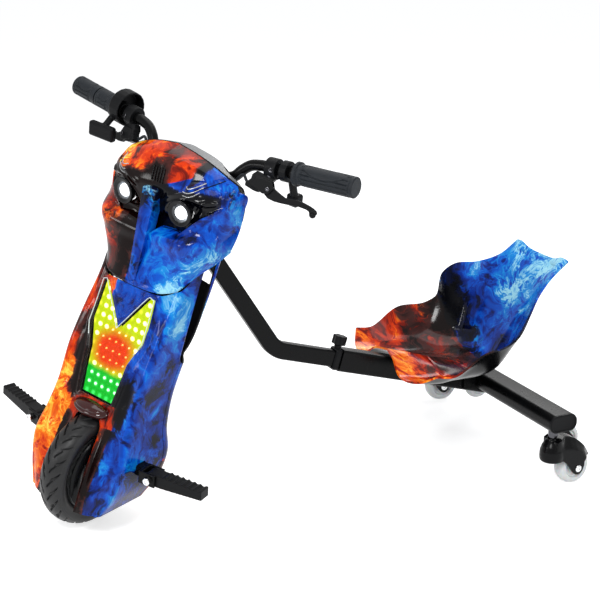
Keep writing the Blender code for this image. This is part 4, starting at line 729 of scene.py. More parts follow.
def rounded_profile(points, radius, steps=4):
    # cuts each corner of a closed profile to a small arc
    out = []
    points = [Vector(point) for point in points]
    for before, corner, after in zip(points[-1:] + points[:-1], points, points[1:] + points[:1]):
        back, ahead = (before - corner), (after - corner)
        reach = min(radius, back.length * 0.45, ahead.length * 0.45)
        start, end = corner + back.normalized() * reach, corner + ahead.normalized() * reach
        for k in range(steps + 1):
            turn = math.pi / 2 * k / steps
            bent = (start - corner) * (1 - math.sin(turn))
            out.append(tuple(corner + bent + (end - corner) * (1 - math.cos(turn))))
    return out


def swept(name, line, outline, side, closed_ends=True):
    # a section carried along a line; side is the section's first axis
    line = [Vector(point) for point in line]
    verts = []
    for i, point in enumerate(line):
        way = (line[min(i + 1, len(line) - 1)] - line[max(i - 1, 0)]).normalized()
        across = Vector(side)
        across = (across - way * across.dot(way)).normalized()
        up = way.cross(across)
        verts += [point + across * a + up * b for a, b in outline]
    faces = ring_faces(len(line), len(outline))
    if closed_ends:
        faces += end_faces(len(line), len(outline))
    piece = mesh_piece(name, verts, faces)
    weld(piece, SWEPT_WELD)
    return piece


def box_outline(wide, high, radius, steps=4):
    a, b = wide / 2, high / 2
    return rounded_profile([(-a, -b), (a, -b), (a, b), (-a, b)], radius, steps)


def moulded(node, body, slot, finish, voxel=0.0007, soften=5):
    # a softened copy of a carried-over piece, with moulded edges in place of its hard ones
    piece = linked(node + "_moulded", NODES[node].data.copy())
    piece.data.materials.clear()
    weld(piece)
    grown(piece, voxel, soften)
    settle(piece, None, body, slot, finish, replaces=(node,), angle=60)


def front_point(point, side):
    # the point on the rider's left (1) or right (-1)
    return Vector((point[0] * side, point[1], point[2]))


# Column fairing

SHELL = 0.003
SEAM = 0.001
SIDE_CORNER = 0.012
FACE_CROWN = 5
# Level by level: height, middle of the front face, front of the side wall, half width,
# rear edge of the side wall, how far the rear panel crowns behind that edge
COLUMN_LEVELS = np.array((
    (0.06, -0.072, -0.06, 0.078, 0.06, 0.036),
    (0.1, -0.056, -0.047, 0.095, 0.078, 0.034),
    (0.14, -0.037, -0.037, 0.101, 0.088, 0.028),
    (0.184, -0.013, -0.017, 0.095, 0.089, 0.02),
    (0.22, 0.001, -0.002, 0.091, 0.098, 0.014),
    (0.297, 0.029, 0.027, 0.091, 0.127, 0.01),
    (0.343, 0.049, 0.052, 0.0905, 0.151, 0.01),
    (0.4, 0.067, 0.087, 0.09, 0.178, 0.008),
    (0.5, 0.098, 0.124, 0.0905, 0.214, 0.006),
))
FACE_MIDDLE, WALL_FRONT, HALF_WIDTH, WALL_REAR, REAR_CROWN = range(1, 6)
COLUMN_LOW = 0.06
REAR_PANEL_DEPTH = 0.0235
REAR_CORNER = REAR_PANEL_DEPTH - SEAM - 0.003
TUBE_NOTCH_LOW = 0.405
TUBE_NOTCH_HALF = 0.078
ARCH_LOW_HALF = 0.0372
ARCH_HIGH_HALF = 0.029
ARCH_SHOULDER = 0.1835
ARCH_TOP = 0.207
REAR_ARCH_TOP = 0.088
REAR_ARCH_HALF = 0.032
LAMP_OUTER = ((0.0345, 0.2265), (0.038, 0.253), (0.0425, 0.295), (0.0505, 0.315), (0.059, 0.334),
              (0.056, 0.402))
LAMP_INNER = ((0.044, 0.402), (0.0, 0.3403))
SLOT_TOP = (0.1635, 0.46)
SLOT_FOOT = (0.114, 0.302)
SLOT_HALF_WIDTH = 0.0135
CHIN_LINE = np.array(((-0.2, 0.411), (0.04, 0.411), (0.078, 0.411), (0.095, 0.418), (0.12, 0.44),
                      (0.144, 0.459), (0.175, 0.48), (0.23, 0.495), (0.4, 0.495)))
PEG_HOLE = (0.0012, 0.0228, 0.1272, 0.1468)
COLUMN_AXIS = (0.0, 0.08, 0.26)


def level_value(height, column):
    heights, values = COLUMN_LEVELS[:, 0], COLUMN_LEVELS[:, column]
    slopes = np.gradient(values, heights)
    i = np.clip(np.searchsorted(heights, height, side="right") - 1, 0, len(heights) - 2)
    span = heights[i + 1] - heights[i]
    return hermite((height - heights[i]) / span, span, values[i], values[i + 1], slopes[i], slopes[i + 1])


def chin(y):
    return np.interp(y, CHIN_LINE[:, 0], CHIN_LINE[:, 1]) - SEAM


def face_y(x, height):
    # how far back the front face lies, bending towards the side walls
    share = np.minimum(np.abs(x) / (level_value(height, HALF_WIDTH) - SIDE_CORNER), 1.0)
    middle = level_value(height, FACE_MIDDLE)
    return middle + (level_value(height, WALL_FRONT) - middle) * share**FACE_CROWN


def front_wall(share, height):
    # a point of the front moulding: share 0 to 1 over its face, to 2 round the corner, to 3 along the side
    flat = level_value(height, HALF_WIDTH) - SIDE_CORNER
    side = level_value(height, WALL_FRONT)
    seam = level_value(height, WALL_REAR) - REAR_PANEL_DEPTH
    turn = np.clip(share - 1.0, 0.0, 1.0) * math.pi / 2
    along = np.clip(share - 2.0, 0.0, 1.0)
    across = flat * np.minimum(share, 1.0)
    y = np.where(share <= 1.0, face_y(across, height), side + SIDE_CORNER * (1 - np.cos(turn)))
    y = np.where(share > 2.0, side + SIDE_CORNER + (seam - side - SIDE_CORNER) * along, y)
    return across + SIDE_CORNER * np.sin(turn), y


def rear_wall(share, height):
    # share 0 to 1 along the side, to 2 round the corner, to 3 over the rear panel to its middle
    edge = level_value(height, WALL_REAR)
    flat = level_value(height, HALF_WIDTH) - REAR_CORNER
    along = np.clip(share, 0.0, 1.0)
    turn = np.clip(share - 1.0, 0.0, 1.0) * math.pi / 2
    x = np.where(share <= 2.0, flat + REAR_CORNER * np.cos(turn), flat * (3.0 - share))
    start = edge - REAR_PANEL_DEPTH + SEAM
    y = np.where(share <= 1.0, start + (edge - REAR_CORNER - start) * along,
                 edge - REAR_CORNER * (1 - np.sin(turn)))
    crown = level_value(height, REAR_CROWN) * (1 - (np.minimum(x, flat) / flat)**2)
    return x, np.where(share > 2.0, edge + crown, y)


def wall_shares(first, corner, last):
    return np.concatenate((np.linspace(0, 1, first), np.linspace(1, 2, corner)[1:],
                           np.linspace(2, 3, last)[1:]))


def column_grid(wall, shares, rows):
    grid = np.zeros((rows, len(shares), 3))
    for i, share in enumerate(shares):
        top = 0.45
        for _ in range(30):
            top = chin(wall(share, np.array([top]))[1][0])
        heights = np.linspace(COLUMN_LOW, top, rows)
        x, y = wall(share, heights)
        grid[:, i] = np.stack((x, y, heights), axis=1)
    return grid


def strap(start, end, half):
    # a strip between two points of a plane, round at its first end
    steps = 24
    start, end = np.array(start), np.array(end)
    way = (end - start) / np.linalg.norm(end - start)
    across = np.array((-way[1], way[0]))
    first = math.atan2(way[1], way[0]) + math.pi / 2
    turns = [first + math.pi * k / steps for k in range(steps + 1)]
    arc = [start + half * np.array((math.cos(turn), math.sin(turn))) for turn in turns]
    return [end + across * half, *arc, end - across * half]


def slot_gap(verts):
    top, foot = np.array(SLOT_TOP), np.array(SLOT_FOOT)
    away = outline_distance(verts[:, 1:], strap(foot, top + (top - foot) * 0.3, SLOT_HALF_WIDTH))
    return np.where(verts[:, 0] > 0.05, away, 1.0)


def window_outline():
    right = list(LAMP_OUTER) + [LAMP_INNER[0]]
    return right + [LAMP_INNER[1]] + [(-x, z) for x, z in reversed(right)]


def from_window(grid):
    return outline_distance(grid[:, :, [0, 2]].reshape(-1, 2), window_outline()).reshape(grid.shape[:2])


def lamp_gap(verts):
    away = outline_distance(verts[:, [0, 2]], window_outline())
    return np.where(verts[:, 1] < face_y(verts[:, 0], verts[:, 2]) + 0.002, away, 1.0)


def arch_gap(verts):
    arc = [(ARCH_HIGH_HALF * math.cos(math.pi * k / 16),
            ARCH_SHOULDER + (ARCH_TOP - ARCH_SHOULDER) * math.sin(math.pi * k / 16)) for k in range(17)]
    outline = [(-ARCH_LOW_HALF, 0.0), (ARCH_LOW_HALF, 0.0), (ARCH_LOW_HALF, 0.063), *arc,
               (-ARCH_LOW_HALF, 0.063)]
    return np.where(verts[:, 1] < 0.05, outline_distance(verts[:, [0, 2]], outline), 1.0)


def peg_gap(verts):
    low_y, high_y, low_z, high_z = PEG_HOLE
    outline = [(low_y, low_z), (high_y, low_z), (high_y, high_z), (low_y, high_z)]
    return np.where(verts[:, 0] > 0.05, outline_distance(verts[:, 1:], outline), 1.0)


def column_tone(x, y, z):
    # warm on the rider's right, cool on the left, with soot beside the lamp and over the wheel
    warm = 1 - ease(x, -0.045, -0.015)
    low = (z < 0.228) & (np.abs(x) < 0.06) & (y < 0.03)
    warm = np.where(low, 1 - ease(x, 0.045, 0.06), warm)
    beside = bell(np.abs(x + 0.05), 0.016) * ease(z, 0.2, 0.24) * (1 - ease(z, 0.35, 0.39))
    patch = bell(x - 0.052, 0.018) * bell(z - 0.232, 0.036) * (y < 0.06)
    arch = bell(np.abs(x) - 0.044, 0.01) * (1 - ease(z, 0.185, 0.2)) * (y < 0.02)
    dark = 0.27 + 0.8 * beside + 0.95 * patch + 0.45 * arch - 0.55 * low * (z > 0.192) * bell(x - 0.04, 0.016)
    dark = dark - 0.3 * ((x < -0.05) & (z < 0.27)) - 0.12 * ease(z, 0.27, 0.34) * (x > 0)
    dark = dark + 0.12 * bell(x - 0.095, 0.02) * bell(z - 0.14, 0.03)
    light = 0.05 + 0.1 * bell(x - 0.083, 0.01) * ease(z, 0.27, 0.32) * (y < 0.12)
    light = light + 0.34 * (x < -0.045) * ease(0.3 - z, 0.0, 0.08) - 0.16 * (x < -0.045) * ease(z, 0.3, 0.36)
    light = light + 0.16 * bell(x - 0.09, 0.03) * bell(z - 0.24, 0.04) + 0.1 * (x > 0.06) * (z < 0.2)
    return np.array((warm, dark, light))


def rear_tone(x, y, z):
    # rust and ember low on the rear moulding, smoke above, pale on the rider's left edge
    left = ease(x + 0.9 * (z - 0.235), -0.02, 0.04)
    warm = 1 - left
    dark = 0.36 + 0.12 * ease(z, 0.22, 0.32) - 0.26 * left
    light = (0.2 * (1 - ease(z, 0.16, 0.24))
             + 0.4 * left * ease(z, 0.24, 0.3) * (y < level_value(z, WALL_REAR) + 0.002))
    return np.array((warm, dark, light))


def make_column():
    shares = wall_shares(50, 11, 44)
    grid = column_grid(front_wall, shares, 150)
    x, z = grid[:, :, 0], grid[:, :, 2]
    away = from_window(grid)
    frame_lift = 0.0016 * bell(away - 0.005, 0.0022) - 0.001 * bell(away - 0.0105, 0.003)
    slot_lip = 0.0014 * bell(slot_gap(grid.reshape(-1, 3)).reshape(x.shape) - 0.003, 0.0016)
    arch_lip = 0.0018 * bell(arch_gap(grid.reshape(-1, 3)).reshape(x.shape) - 0.0035, 0.0026)
    valley = -0.003 * bell(np.abs(x) - 0.066, 0.01) * ease(z, 0.215, 0.25) * (1 - ease(z, 0.36, 0.4))
    lift = (frame_lift + valley) * (shares[None, :] <= 1.0) + slot_lip * (shares[None, :] > 2.0) + arch_lip
    lift[:, -1] = 0
    grid = grid + outward(grid, COLUMN_AXIS) * lift[:, :, None]
    grid[:, 0, 0] = 0.0
    verts, faces = grid.reshape(-1, 3), grid_faces(*x.shape)
    for gap in (lamp_gap, arch_gap, slot_gap, peg_gap):
        verts, faces = pierce(verts, faces, gap)
    front = shell("front_moulding", verts, faces, SHELL, COLUMN_AXIS, ("print_front", "inside"),
                  tone=column_tone)
    settle(front, TO_FRONT, "steering", "print", replaces=("front_fairing",))

    shares = wall_shares(4, 14, 44)
    grid = column_grid(rear_wall, shares, 130)
    rib = 0.0012 * bell(np.abs(grid[:, :, 0]) - 0.045, 0.002) * (shares[None, :] > 2.0)
    grid = grid + outward(grid, COLUMN_AXIS) * rib[:, :, None]
    grid[:, -1, 0] = 0.0
    verts, faces = grid.reshape(-1, 3), grid_faces(*rib.shape)
    for half, low, high in ((TUBE_NOTCH_HALF, TUBE_NOTCH_LOW, 0.7), (REAR_ARCH_HALF, 0.0, REAR_ARCH_TOP)):
        outline = [(-0.2, low), (half, low), (half, high), (-0.2, high)]
        verts, faces = pierce(verts, faces, lambda points: np.where(points[:, 1] > 0.03, outline_distance(
            points[:, [0, 2]], outline), 1.0))
    verts, faces = pierce(verts, faces, slot_gap)
    back = shell("rear_moulding", verts, faces, SHELL, COLUMN_AXIS, ("print_front", "inside"), tone=rear_tone)
    settle(back, TO_FRONT, "steering", "print_fire", replaces=("rear_fairing",))


NOSE = (0.0, -0.001, 0.2105)
NOSE_RADIUS = (0.037, 0.022, 0.013)


def make_nose():
    # glossy bulge over the wheel arch: a ball drawn out in edit mode, with a pinched brow
    nose = primitive(bpy.ops.mesh.primitive_uv_sphere_add, "wheel_arch_nose", segments=64, ring_count=36,
                     radius=1.0)
    bpy.ops.object.mode_set(mode="EDIT")
    bpy.ops.mesh.select_all(action="SELECT")
    bpy.ops.transform.resize(value=NOSE_RADIUS)
    bpy.ops.transform.translate(value=NOSE)
    bpy.ops.object.mode_set(mode="OBJECT")
    places = places_of(nose)
    groove = bell(places[:, 2] - NOSE[2] - 0.0035, 0.0016) * (places[:, 1] < NOSE[1])
    places[:, 1] += 0.0016 * groove
    put_places(nose, places)
    settle(nose, TO_FRONT, "steering", "print", "nose")


# Y lamp: lens, lit board and its LEDs

LENS_MARGIN = 0.0022
LENS_TOP = 0.4085
LENS_THICKNESS = 0.0022
LENS_STANDOFF = 0.0012
BOARD_BEHIND = 0.01
BOARD_MARGIN = 0.002
BOARD_THICKNESS = 0.002
LED_HEIGHT = 0.003
LED_INSET = 0.0052
LED_SIZES = {"heart": 0.0016, "stem": 0.0028, "arms": 0.0043}
HEART_RADIUS = 0.033
STEM_TOP = 0.267


def lamp_grid(margin, low, top, offset, rows, columns):
    outer = np.array(LAMP_OUTER)
    heights = np.linspace(low, top, rows)
    wide = np.interp(heights, outer[:, 1], outer[:, 0]) + margin
    grid = np.zeros((rows, columns, 3))
    for i, share in enumerate(np.linspace(0.0, 1.0, columns)):
        x = wide * share
        grid[:, i] = np.stack((x, face_y(x, heights) + offset, heights), axis=1)
    return grid


def face_at(x, z):
    return float(face_y(x, np.array([z]))[0])


def led_places():
    # the LEDs inside the window: place and radius, smallest in the heart and largest in the arms
    window = window_outline()
    rows = int(0.2 / LED_PITCH)
    for row in range(-rows, rows):
        for column in range(-4, 5):
            place = np.array([[column * LED_PITCH, LED_ROW + row * LED_PITCH]])
            if outline_distance(place, window)[0] < -LED_INSET:
                x, z = place[0]
                heart = math.hypot(x * 0.74, z - LED_ROW) < HEART_RADIUS
                size = LED_SIZES["heart" if heart else "stem" if z < STEM_TOP else "arms"]
                yield (x, face_at(x, z) + BOARD_BEHIND, z), size


def make_leds():
    verts, faces = [], []
    rings, steps = 3, 8
    for centre, size in led_places():
        base = len(verts)
        verts.append(np.array(centre) - np.array((0, LED_HEIGHT, 0)))
        for ring in range(1, rings + 1):
            turn = math.pi / 2 * ring / rings
            for k in range(steps):
                angle = math.tau * k / steps
                out = size * math.sin(turn) * np.array((math.cos(angle), 0, math.sin(angle)))
                verts.append(np.array(centre) + out - np.array((0, LED_HEIGHT * math.cos(turn), 0)))
        faces += [(base, base + 1 + (k + 1) % steps, base + 1 + k) for k in range(steps)]
        faces += [tuple(base + 1 + i for i in face) for face in ring_faces(rings, steps)]
        faces.append(tuple(base + 1 + (rings - 1) * steps + k for k in range(steps)))
    leds = mesh_piece("lamp_leds", verts, faces)
    weld(leds, FINE_WELD)
    settle(leds, TO_FRONT, "steering", "lamp", "led")


def make_lamp():
    foot, tops = LAMP_OUTER[0][1], LAMP_OUTER[-1][1]
    grid = lamp_grid(LENS_MARGIN, foot - LENS_MARGIN, LENS_TOP, -LENS_STANDOFF, 120, 44)
    grid[:, :, 1] -= 0.0012 * ease(-from_window(grid), 0.0, 0.0035)
    lens = shell("lamp_cover", grid.reshape(-1, 3), grid_faces(*grid.shape[:2]), LENS_THICKNESS, COLUMN_AXIS,
                 ("clear", "clear"))
    lens.data.transform(Matrix.Translation((0.0, -LENS_THICKNESS * 0.5, 0.0)))
    settle(lens, TO_FRONT, "steering", "clear", replaces=("lamp_lens",))

    spread = LAMP_INNER[0][0] / (LAMP_INNER[0][1] - LAMP_INNER[1][1])
    grid = lamp_grid(BOARD_MARGIN, foot - BOARD_MARGIN, tops + BOARD_MARGIN, BOARD_BEHIND, 130, 50)
    tip = LAMP_INNER[1][1] - BOARD_MARGIN
    notch = [(-0.2, tip + 0.2 / spread), (0.0, tip), (0.2, tip + 0.2 / spread)]
    verts, faces = pierce(grid.reshape(-1, 3), grid_faces(*grid.shape[:2]),
                          lambda points: outline_distance(points[:, [0, 2]], notch))
    board = shell("lit_board", verts, faces, BOARD_THICKNESS, COLUMN_AXIS, ("board", "plastic"))
    settle(board, TO_FRONT, "steering", "lamp", replaces=("lamp_board",))
    make_leds()

    # the moulded edge of the lens round its arms and along the notch between them, whose pale glowing finish is a
    # painted reflection
    line = [*LAMP_OUTER, (LAMP_INNER[0][0] + 0.004, LENS_TOP - 0.003), *LAMP_INNER]
    for side, way in SIDES.items():
        for k, (start, end) in enumerate(zip(line[3:-1], line[4:])):
            route = []
            for t in np.linspace(0.0, 1.0, 14):
                x, z = start[0] * (1 - t) + end[0] * t, start[1] * (1 - t) + end[1] * t
                route.append((way * x, face_at(x, z) - LENS_STANDOFF - LENS_THICKNESS * 1.1, z))
            rib = swept(f"{side}_lens_edge_{k}", route, box_outline(0.0014, 0.0012, 0.0005, 2), (0, 1, 0))
            settle(rib, TO_FRONT, "steering", "clear", "lens_edge")


# Head: cowl with its brows, eye hollows and fin; dash; headlights

HEAD_RIBS = (
    ((0, 0.062, 0.385), (0.045, 0.066, 0.385), (0.08, 0.085, 0.385), (0.09, 0.12, 0.385),
     (0.091, 0.172, 0.385)),
    ((0, 0.076, 0.43), (0.045, 0.08, 0.43), (0.082, 0.1, 0.432), (0.097, 0.14, 0.438), (0.101, 0.172, 0.445)),
    ((0, 0.092, 0.472), (0.045, 0.09, 0.474), (0.086, 0.096, 0.476), (0.115, 0.13, 0.48),
     (0.119, 0.172, 0.482)),
    ((0, 0.096, 0.494), (0.045, 0.093, 0.497), (0.086, 0.092, 0.5), (0.117, 0.122, 0.503),
     (0.123, 0.18, 0.505)),
    ((0, 0.116, 0.513), (0.045, 0.116, 0.512), (0.086, 0.11, 0.519), (0.118, 0.137, 0.522),
     (0.125, 0.184, 0.522)),
    ((0, 0.114, 0.545), (0.045, 0.11, 0.545), (0.086, 0.116, 0.547), (0.119, 0.146, 0.547),
     (0.126, 0.187, 0.546)),
    ((0, 0.112, 0.573), (0.045, 0.11, 0.575), (0.085, 0.12, 0.576), (0.117, 0.148, 0.572),
     (0.128, 0.189, 0.574)),
    ((0, 0.121, 0.596), (0.045, 0.124, 0.596), (0.084, 0.138, 0.59), (0.108, 0.158, 0.583),
     (0.12, 0.178, 0.582)),
    ((0, 0.134, 0.617), (0.045, 0.137, 0.613), (0.081, 0.149, 0.604), (0.103, 0.163, 0.594),
     (0.117, 0.178, 0.586)),
    ((0, 0.164, 0.629), (0.045, 0.163, 0.622), (0.078, 0.167, 0.61), (0.099, 0.172, 0.599),
     (0.115, 0.18, 0.588)),
)
DASH_RIBS = (
    ((0, 0.1658, 0.6296), (0.045, 0.165, 0.6228), (0.078, 0.1695, 0.611), (0.099, 0.175, 0.6),
     (0.115, 0.1835, 0.5888)),
    ((0, 0.184, 0.625), (0.045, 0.182, 0.618), (0.08, 0.183, 0.606), (0.102, 0.186, 0.595),
     (0.117, 0.19, 0.584)),
    ((0, 0.216, 0.608), (0.045, 0.214, 0.602), (0.082, 0.209, 0.59), (0.105, 0.202, 0.578),
     (0.119, 0.195, 0.57)),
    ((0, 0.234, 0.575), (0.045, 0.232, 0.57), (0.08, 0.224, 0.56), (0.104, 0.212, 0.552),
     (0.119, 0.198, 0.548)),
    ((0, 0.234, 0.54), (0.045, 0.232, 0.537), (0.078, 0.224, 0.532), (0.102, 0.21, 0.528),
     (0.118, 0.196, 0.526)),
)
HEAD_MIDDLE = (0.0, 0.17, 0.51)
EYE_AT = (0.0635, 0.546)
EYE_HALF = (0.0345, 0.0175)
EYE_TURN = math.radians(20.0)
POD_HOLE_RADIUS = 0.0188
# Swellings of the face: place, half sizes, turn, rise
BUMPS = (
    ((0.101, 0.566), (0.015, 0.0078), 0.05, 0.0042),
    ((0.108, 0.586), (0.0085, 0.012), 0.5, 0.0034),
    ((0.073, 0.583), (0.0165, 0.0125), 0.2, 0.003),
)
CHEEK_LINE = np.array(((0.0, 0.488), (0.021, 0.507), (0.064, 0.511), (0.095, 0.542), (0.116, 0.558),
                       (0.135, 0.569)))
BAR_ROUTE = (
    (0.0, 0.2015, 0.585), (0.024, 0.2015, 0.585), (0.048, 0.2015, 0.585), (0.074, 0.2015, 0.586),
    (0.0885, 0.2035, 0.593), (0.0985, 0.2085, 0.605), (0.111, 0.213, 0.615), (0.13, 0.2162, 0.6202))
BAR_END = (0.296, 0.2354, 0.6313)
BAR_RADIUS = 0.009
BAR_HOLE_RADIUS = 0.0195


def turned(u, v, turn):
    return u * math.cos(turn) + v * math.sin(turn), v * math.cos(turn) - u * math.sin(turn)


def eye_reach(x, z):
    # 1 on the almond outline round a headlight, less inside it
    along, up = turned(x - EYE_AT[0], z - EYE_AT[1], EYE_TURN)
    return np.sqrt((along / EYE_HALF[0])**2 + (up / EYE_HALF[1])**2)


def head_lift(x, y, z):
    # the moulded face: eye hollows, brow, cheek step and the glossy swellings beside the eyes
    face = 1 - ease(y, 0.15, 0.175)
    eye = eye_reach(x, z)
    lift = -0.0052 * (1 - ease(eye, 0.72, 1.02)) + 0.0014 * bell(eye - 1.12, 0.08)
    brow = ease(x, 0.026, 0.036) * (1 - ease(x, 0.108, 0.12))
    lift = lift + 0.0026 * bell(z - 0.57 - 0.42 * (x - 0.045) - 3.0 * (x - 0.045)**2, 0.0045) * brow
    cheek = z - np.interp(x, CHEEK_LINE[:, 0], CHEEK_LINE[:, 1])
    lift = (lift - 0.0044 * ease(cheek, 0.0, 0.0026) * (1 - ease(cheek, 0.014, 0.03))
            * (1 - ease(x, 0.112, 0.124)))
    lift = lift + 0.001 * bell(cheek + 0.0022, 0.0018)
    for place, size, turn, rise in BUMPS:
        along, up = turned(x - place[0], z - place[1], turn)
        lift = lift + rise * (1 - ease(np.sqrt((along / size[0])**2 + (up / size[1])**2), 0.25, 1.0))
    return lift * face


def head_tone(x, y, z):
    # embers on the rider's right of the dome, smoke on the left, painted shade darkening the hollow over the face,
    # and a painted highlight on the blue swelling beside the near eye
    split = -0.014 + 0.078 * ease(z, 0.56, 0.602)
    warm = 1 - ease(x, split - 0.012, split + 0.012)
    warm = np.where(bell(x - 0.108, 0.014) * bell(z - 0.588, 0.01) > 0.4, 0.0, warm)
    cheek = z - np.interp(np.abs(x), CHEEK_LINE[:, 0], CHEEK_LINE[:, 1])
    inner = 1 - ease(np.abs(x), 0.098, 0.118)
    # painted shade: the hollow over the face, between the cheek step and the brow, darkened
    face_hollow_shade = ease(cheek, -0.001, 0.002) * (1 - ease(z, 0.566, 0.586)) * inner
    dome = ease(z, 0.572, 0.592)
    dark = 0.24 + 0.95 * face_hollow_shade - 0.08 * dome
    dark = dark + dome * (0.26 * bell(x - 0.01, 0.024) + 0.52 * bell(x - 0.068, 0.008)
                          + 0.2 * bell(x + 0.062, 0.008))
    dark = dark + 0.5 * bell(x, 0.02) * bell(z - 0.585, 0.016)
    far = (x < -0.01) * (1 - dome)
    dark = dark + far * (0.36 * bell(x + 0.034, 0.026) + 0.1 - 0.3 * ease(-x, 0.085, 0.11))
    light = 0.04 + dome * (0.72 * ease(-x, 0.048, 0.085) + 0.2 * bell(x + 0.045, 0.02)
                           - 0.22 * bell(x - 0.005, 0.03))
    # the last term lightens the blue swelling beside the near eye as a painted highlight
    light = (light + dome * 0.24 * bell(x - 0.045, 0.012)
             + 0.4 * bell(x - 0.106, 0.014) * bell(z - 0.587, 0.012))
    light = light - 0.04 * far * bell(x + 0.05, 0.04) + 0.16 * far * ease(-x, 0.095, 0.115)
    lower = ease(-cheek, 0.0, 0.01) * (x > 0)
    light = light + lower * (0.02 + 0.48 * ease(x + 0.8 * (0.5 - z), 0.085, 0.135))
    dark = dark - 0.14 * lower + 0.16 * lower * bell(x - 0.085, 0.012) * bell(z - 0.505, 0.014)
    return np.array((warm, dark, light))


def on_sheet(grid, x, z):
    # the point of a sheet over a place seen from the front
    points = grid.reshape(-1, 3)
    points = points[points[:, 1] < 0.175]
    gap = (points[:, 0] - abs(x))**2 + (points[:, 2] - z)**2
    near = np.argsort(gap)[:6]
    weight = 1 / (gap[near] + 1e-9)
    return Vector((x, float((points[near, 1] * weight).sum() / weight.sum()), z))


def make_face_ridges(grid):
    # lids, brow line and eye line as fine raised beads, and the slats between the eyes; the lid beads take a pale
    # cast-metal finish as painted highlights
    bead = circle(0.0008, 10)
    lines = {f"lid_{k}": [(0.0615 + 0.0005 * k, 0.573 + 0.0066 * k), (0.07, 0.5722 + 0.0066 * k),
                          (0.079, 0.576 + 0.0066 * k), (0.085, 0.5815 + 0.0062 * k)] for k in range(3)}
    lines["brow_bead"] = [(0.079, 0.584), (0.088, 0.588), (0.096, 0.593), (0.101, 0.5965)]
    lines["socket_bead"] = [(0.033, 0.544), (0.04, 0.533), (0.052, 0.5265), (0.066, 0.527)]
    for side, way in SIDES.items():
        for label, line in lines.items():
            route = [on_sheet(grid, x * way, z) - Vector((0, 0.0002, 0)) for x, z in through(line, 26)]
            ridge = swept(f"{side}_{label}", route, bead, (0, 1, 0))
            # the lid beads' pale metal finish paints their white highlight arcs
            settle(ridge, TO_FRONT, "steering", "print", "cast" if "lid" in label else "shell_black")
    for k in range(5):
        middle = -0.0105 + 0.0056 * k
        route = [on_sheet(grid, middle + 0.0045 * t, 0.599 - 0.021 * t) - Vector((0, 0.0004, 0))
                 for t in np.linspace(0.0, 1.0, 12)]
        slat = swept(f"louvre_slat_{k}", route, box_outline(0.0022, 0.003, 0.0008, 3), (1, 0, 0))
        settle(slat, TO_FRONT, "steering", "print", "shell_black")


def bar_line(count=90):
    half = [Vector(point) for point in through(BAR_ROUTE, count)] + [Vector(BAR_END)]
    return [front_point(point, -1) for point in reversed(half[1:])] + half


def bar_gap(verts):
    line = np.array([tuple(point) for point in bar_line(40)])
    line = line[line[:, 0] > 0.02]
    start, way = line[:-1], np.diff(line, axis=0)
    offset = verts[:, None, :] - start
    share = np.clip((offset * way).sum(2) / (way * way).sum(1), 0.0, 1.0)
    return np.linalg.norm(offset - share[:, :, None] * way, axis=2).min(1) - BAR_HOLE_RADIUS


def pod_gap(verts):
    axis = np.array(Vector(POD_WAY).normalized())
    offset = verts - np.array(POD)
    along = offset @ axis
    away = np.linalg.norm(offset - along[:, None] * axis, axis=1) - POD_HOLE_RADIUS
    return np.where(along > -0.03, away, 1.0)


def make_head():
    columns, rows = 110, 208
    grid = skin(HEAD_RIBS, columns, rows, dense=(0.09, 0.62))
    cut = np.zeros_like(grid)
    for i in range(columns):
        line = grid[:, i]
        above = line[:, 2] - np.interp(line[:, 1], CHIN_LINE[:, 0], CHIN_LINE[:, 1])
        first = int(np.argmax(above > 0))
        share = above[first] / (above[first] - above[first - 1])
        line = np.concatenate(([line[first] * (1 - share) + line[first - 1] * share], line[first:]))
        steps = np.concatenate(([0.0], np.cumsum(np.linalg.norm(np.diff(line, axis=0), axis=1))))
        even = np.linspace(0.0, steps[-1], rows)
        cut[:, i] = np.stack([np.interp(even, steps, line[:, k]) for k in range(3)], axis=1)
    lift = head_lift(cut[:, :, 0], cut[:, :, 1], cut[:, :, 2])
    edge = np.minimum(ease(np.arange(rows), 0, 4), ease(rows - 1 - np.arange(rows), 0, 4))[:, None]
    rim = 0.001 * bell(np.arange(rows) - 3.0, 1.6)[:, None]
    cut = cut + outward(cut, HEAD_MIDDLE) * (lift * edge + rim)[:, :, None]
    cut[:, 0, 0] = 0.0
    make_face_ridges(cut)
    verts, faces = cut.reshape(-1, 3), grid_faces(rows, columns)
    for gap in (bar_gap, pod_gap):
        verts, faces = pierce(verts, faces, gap)
    cowl = shell("printed_cowl", verts, faces, SHELL, HEAD_MIDDLE, ("print_front", "inside"), tone=head_tone)
    settle(cowl, TO_FRONT, "steering", "print", replaces=("head_cowl",))

    grid = skin(DASH_RIBS, 70, 80)
    verts, faces = pierce(grid.reshape(-1, 3), grid_faces(80, 70), bar_gap)
    dash = shell("dash_moulding", verts, faces, SHELL, HEAD_MIDDLE, ("grey", "inside"))
    settle(dash, TO_FRONT, "steering", "grey_panel", replaces=("dash_panel",))


FIN_LOW = (0.07, 0.418)
FIN_HIGH = (0.101, 0.568)
FIN_DEPTH = 0.024


def fin_tone(x, y, z):
    # the lightness rising at the blunt top is a painted highlight on the fin's top face
    return np.array((0 * x, 0.3 + 0.12 * ease(z, 0.5, 0.55), 0.02 + 0.6 * ease(z, 0.5615, 0.567)))


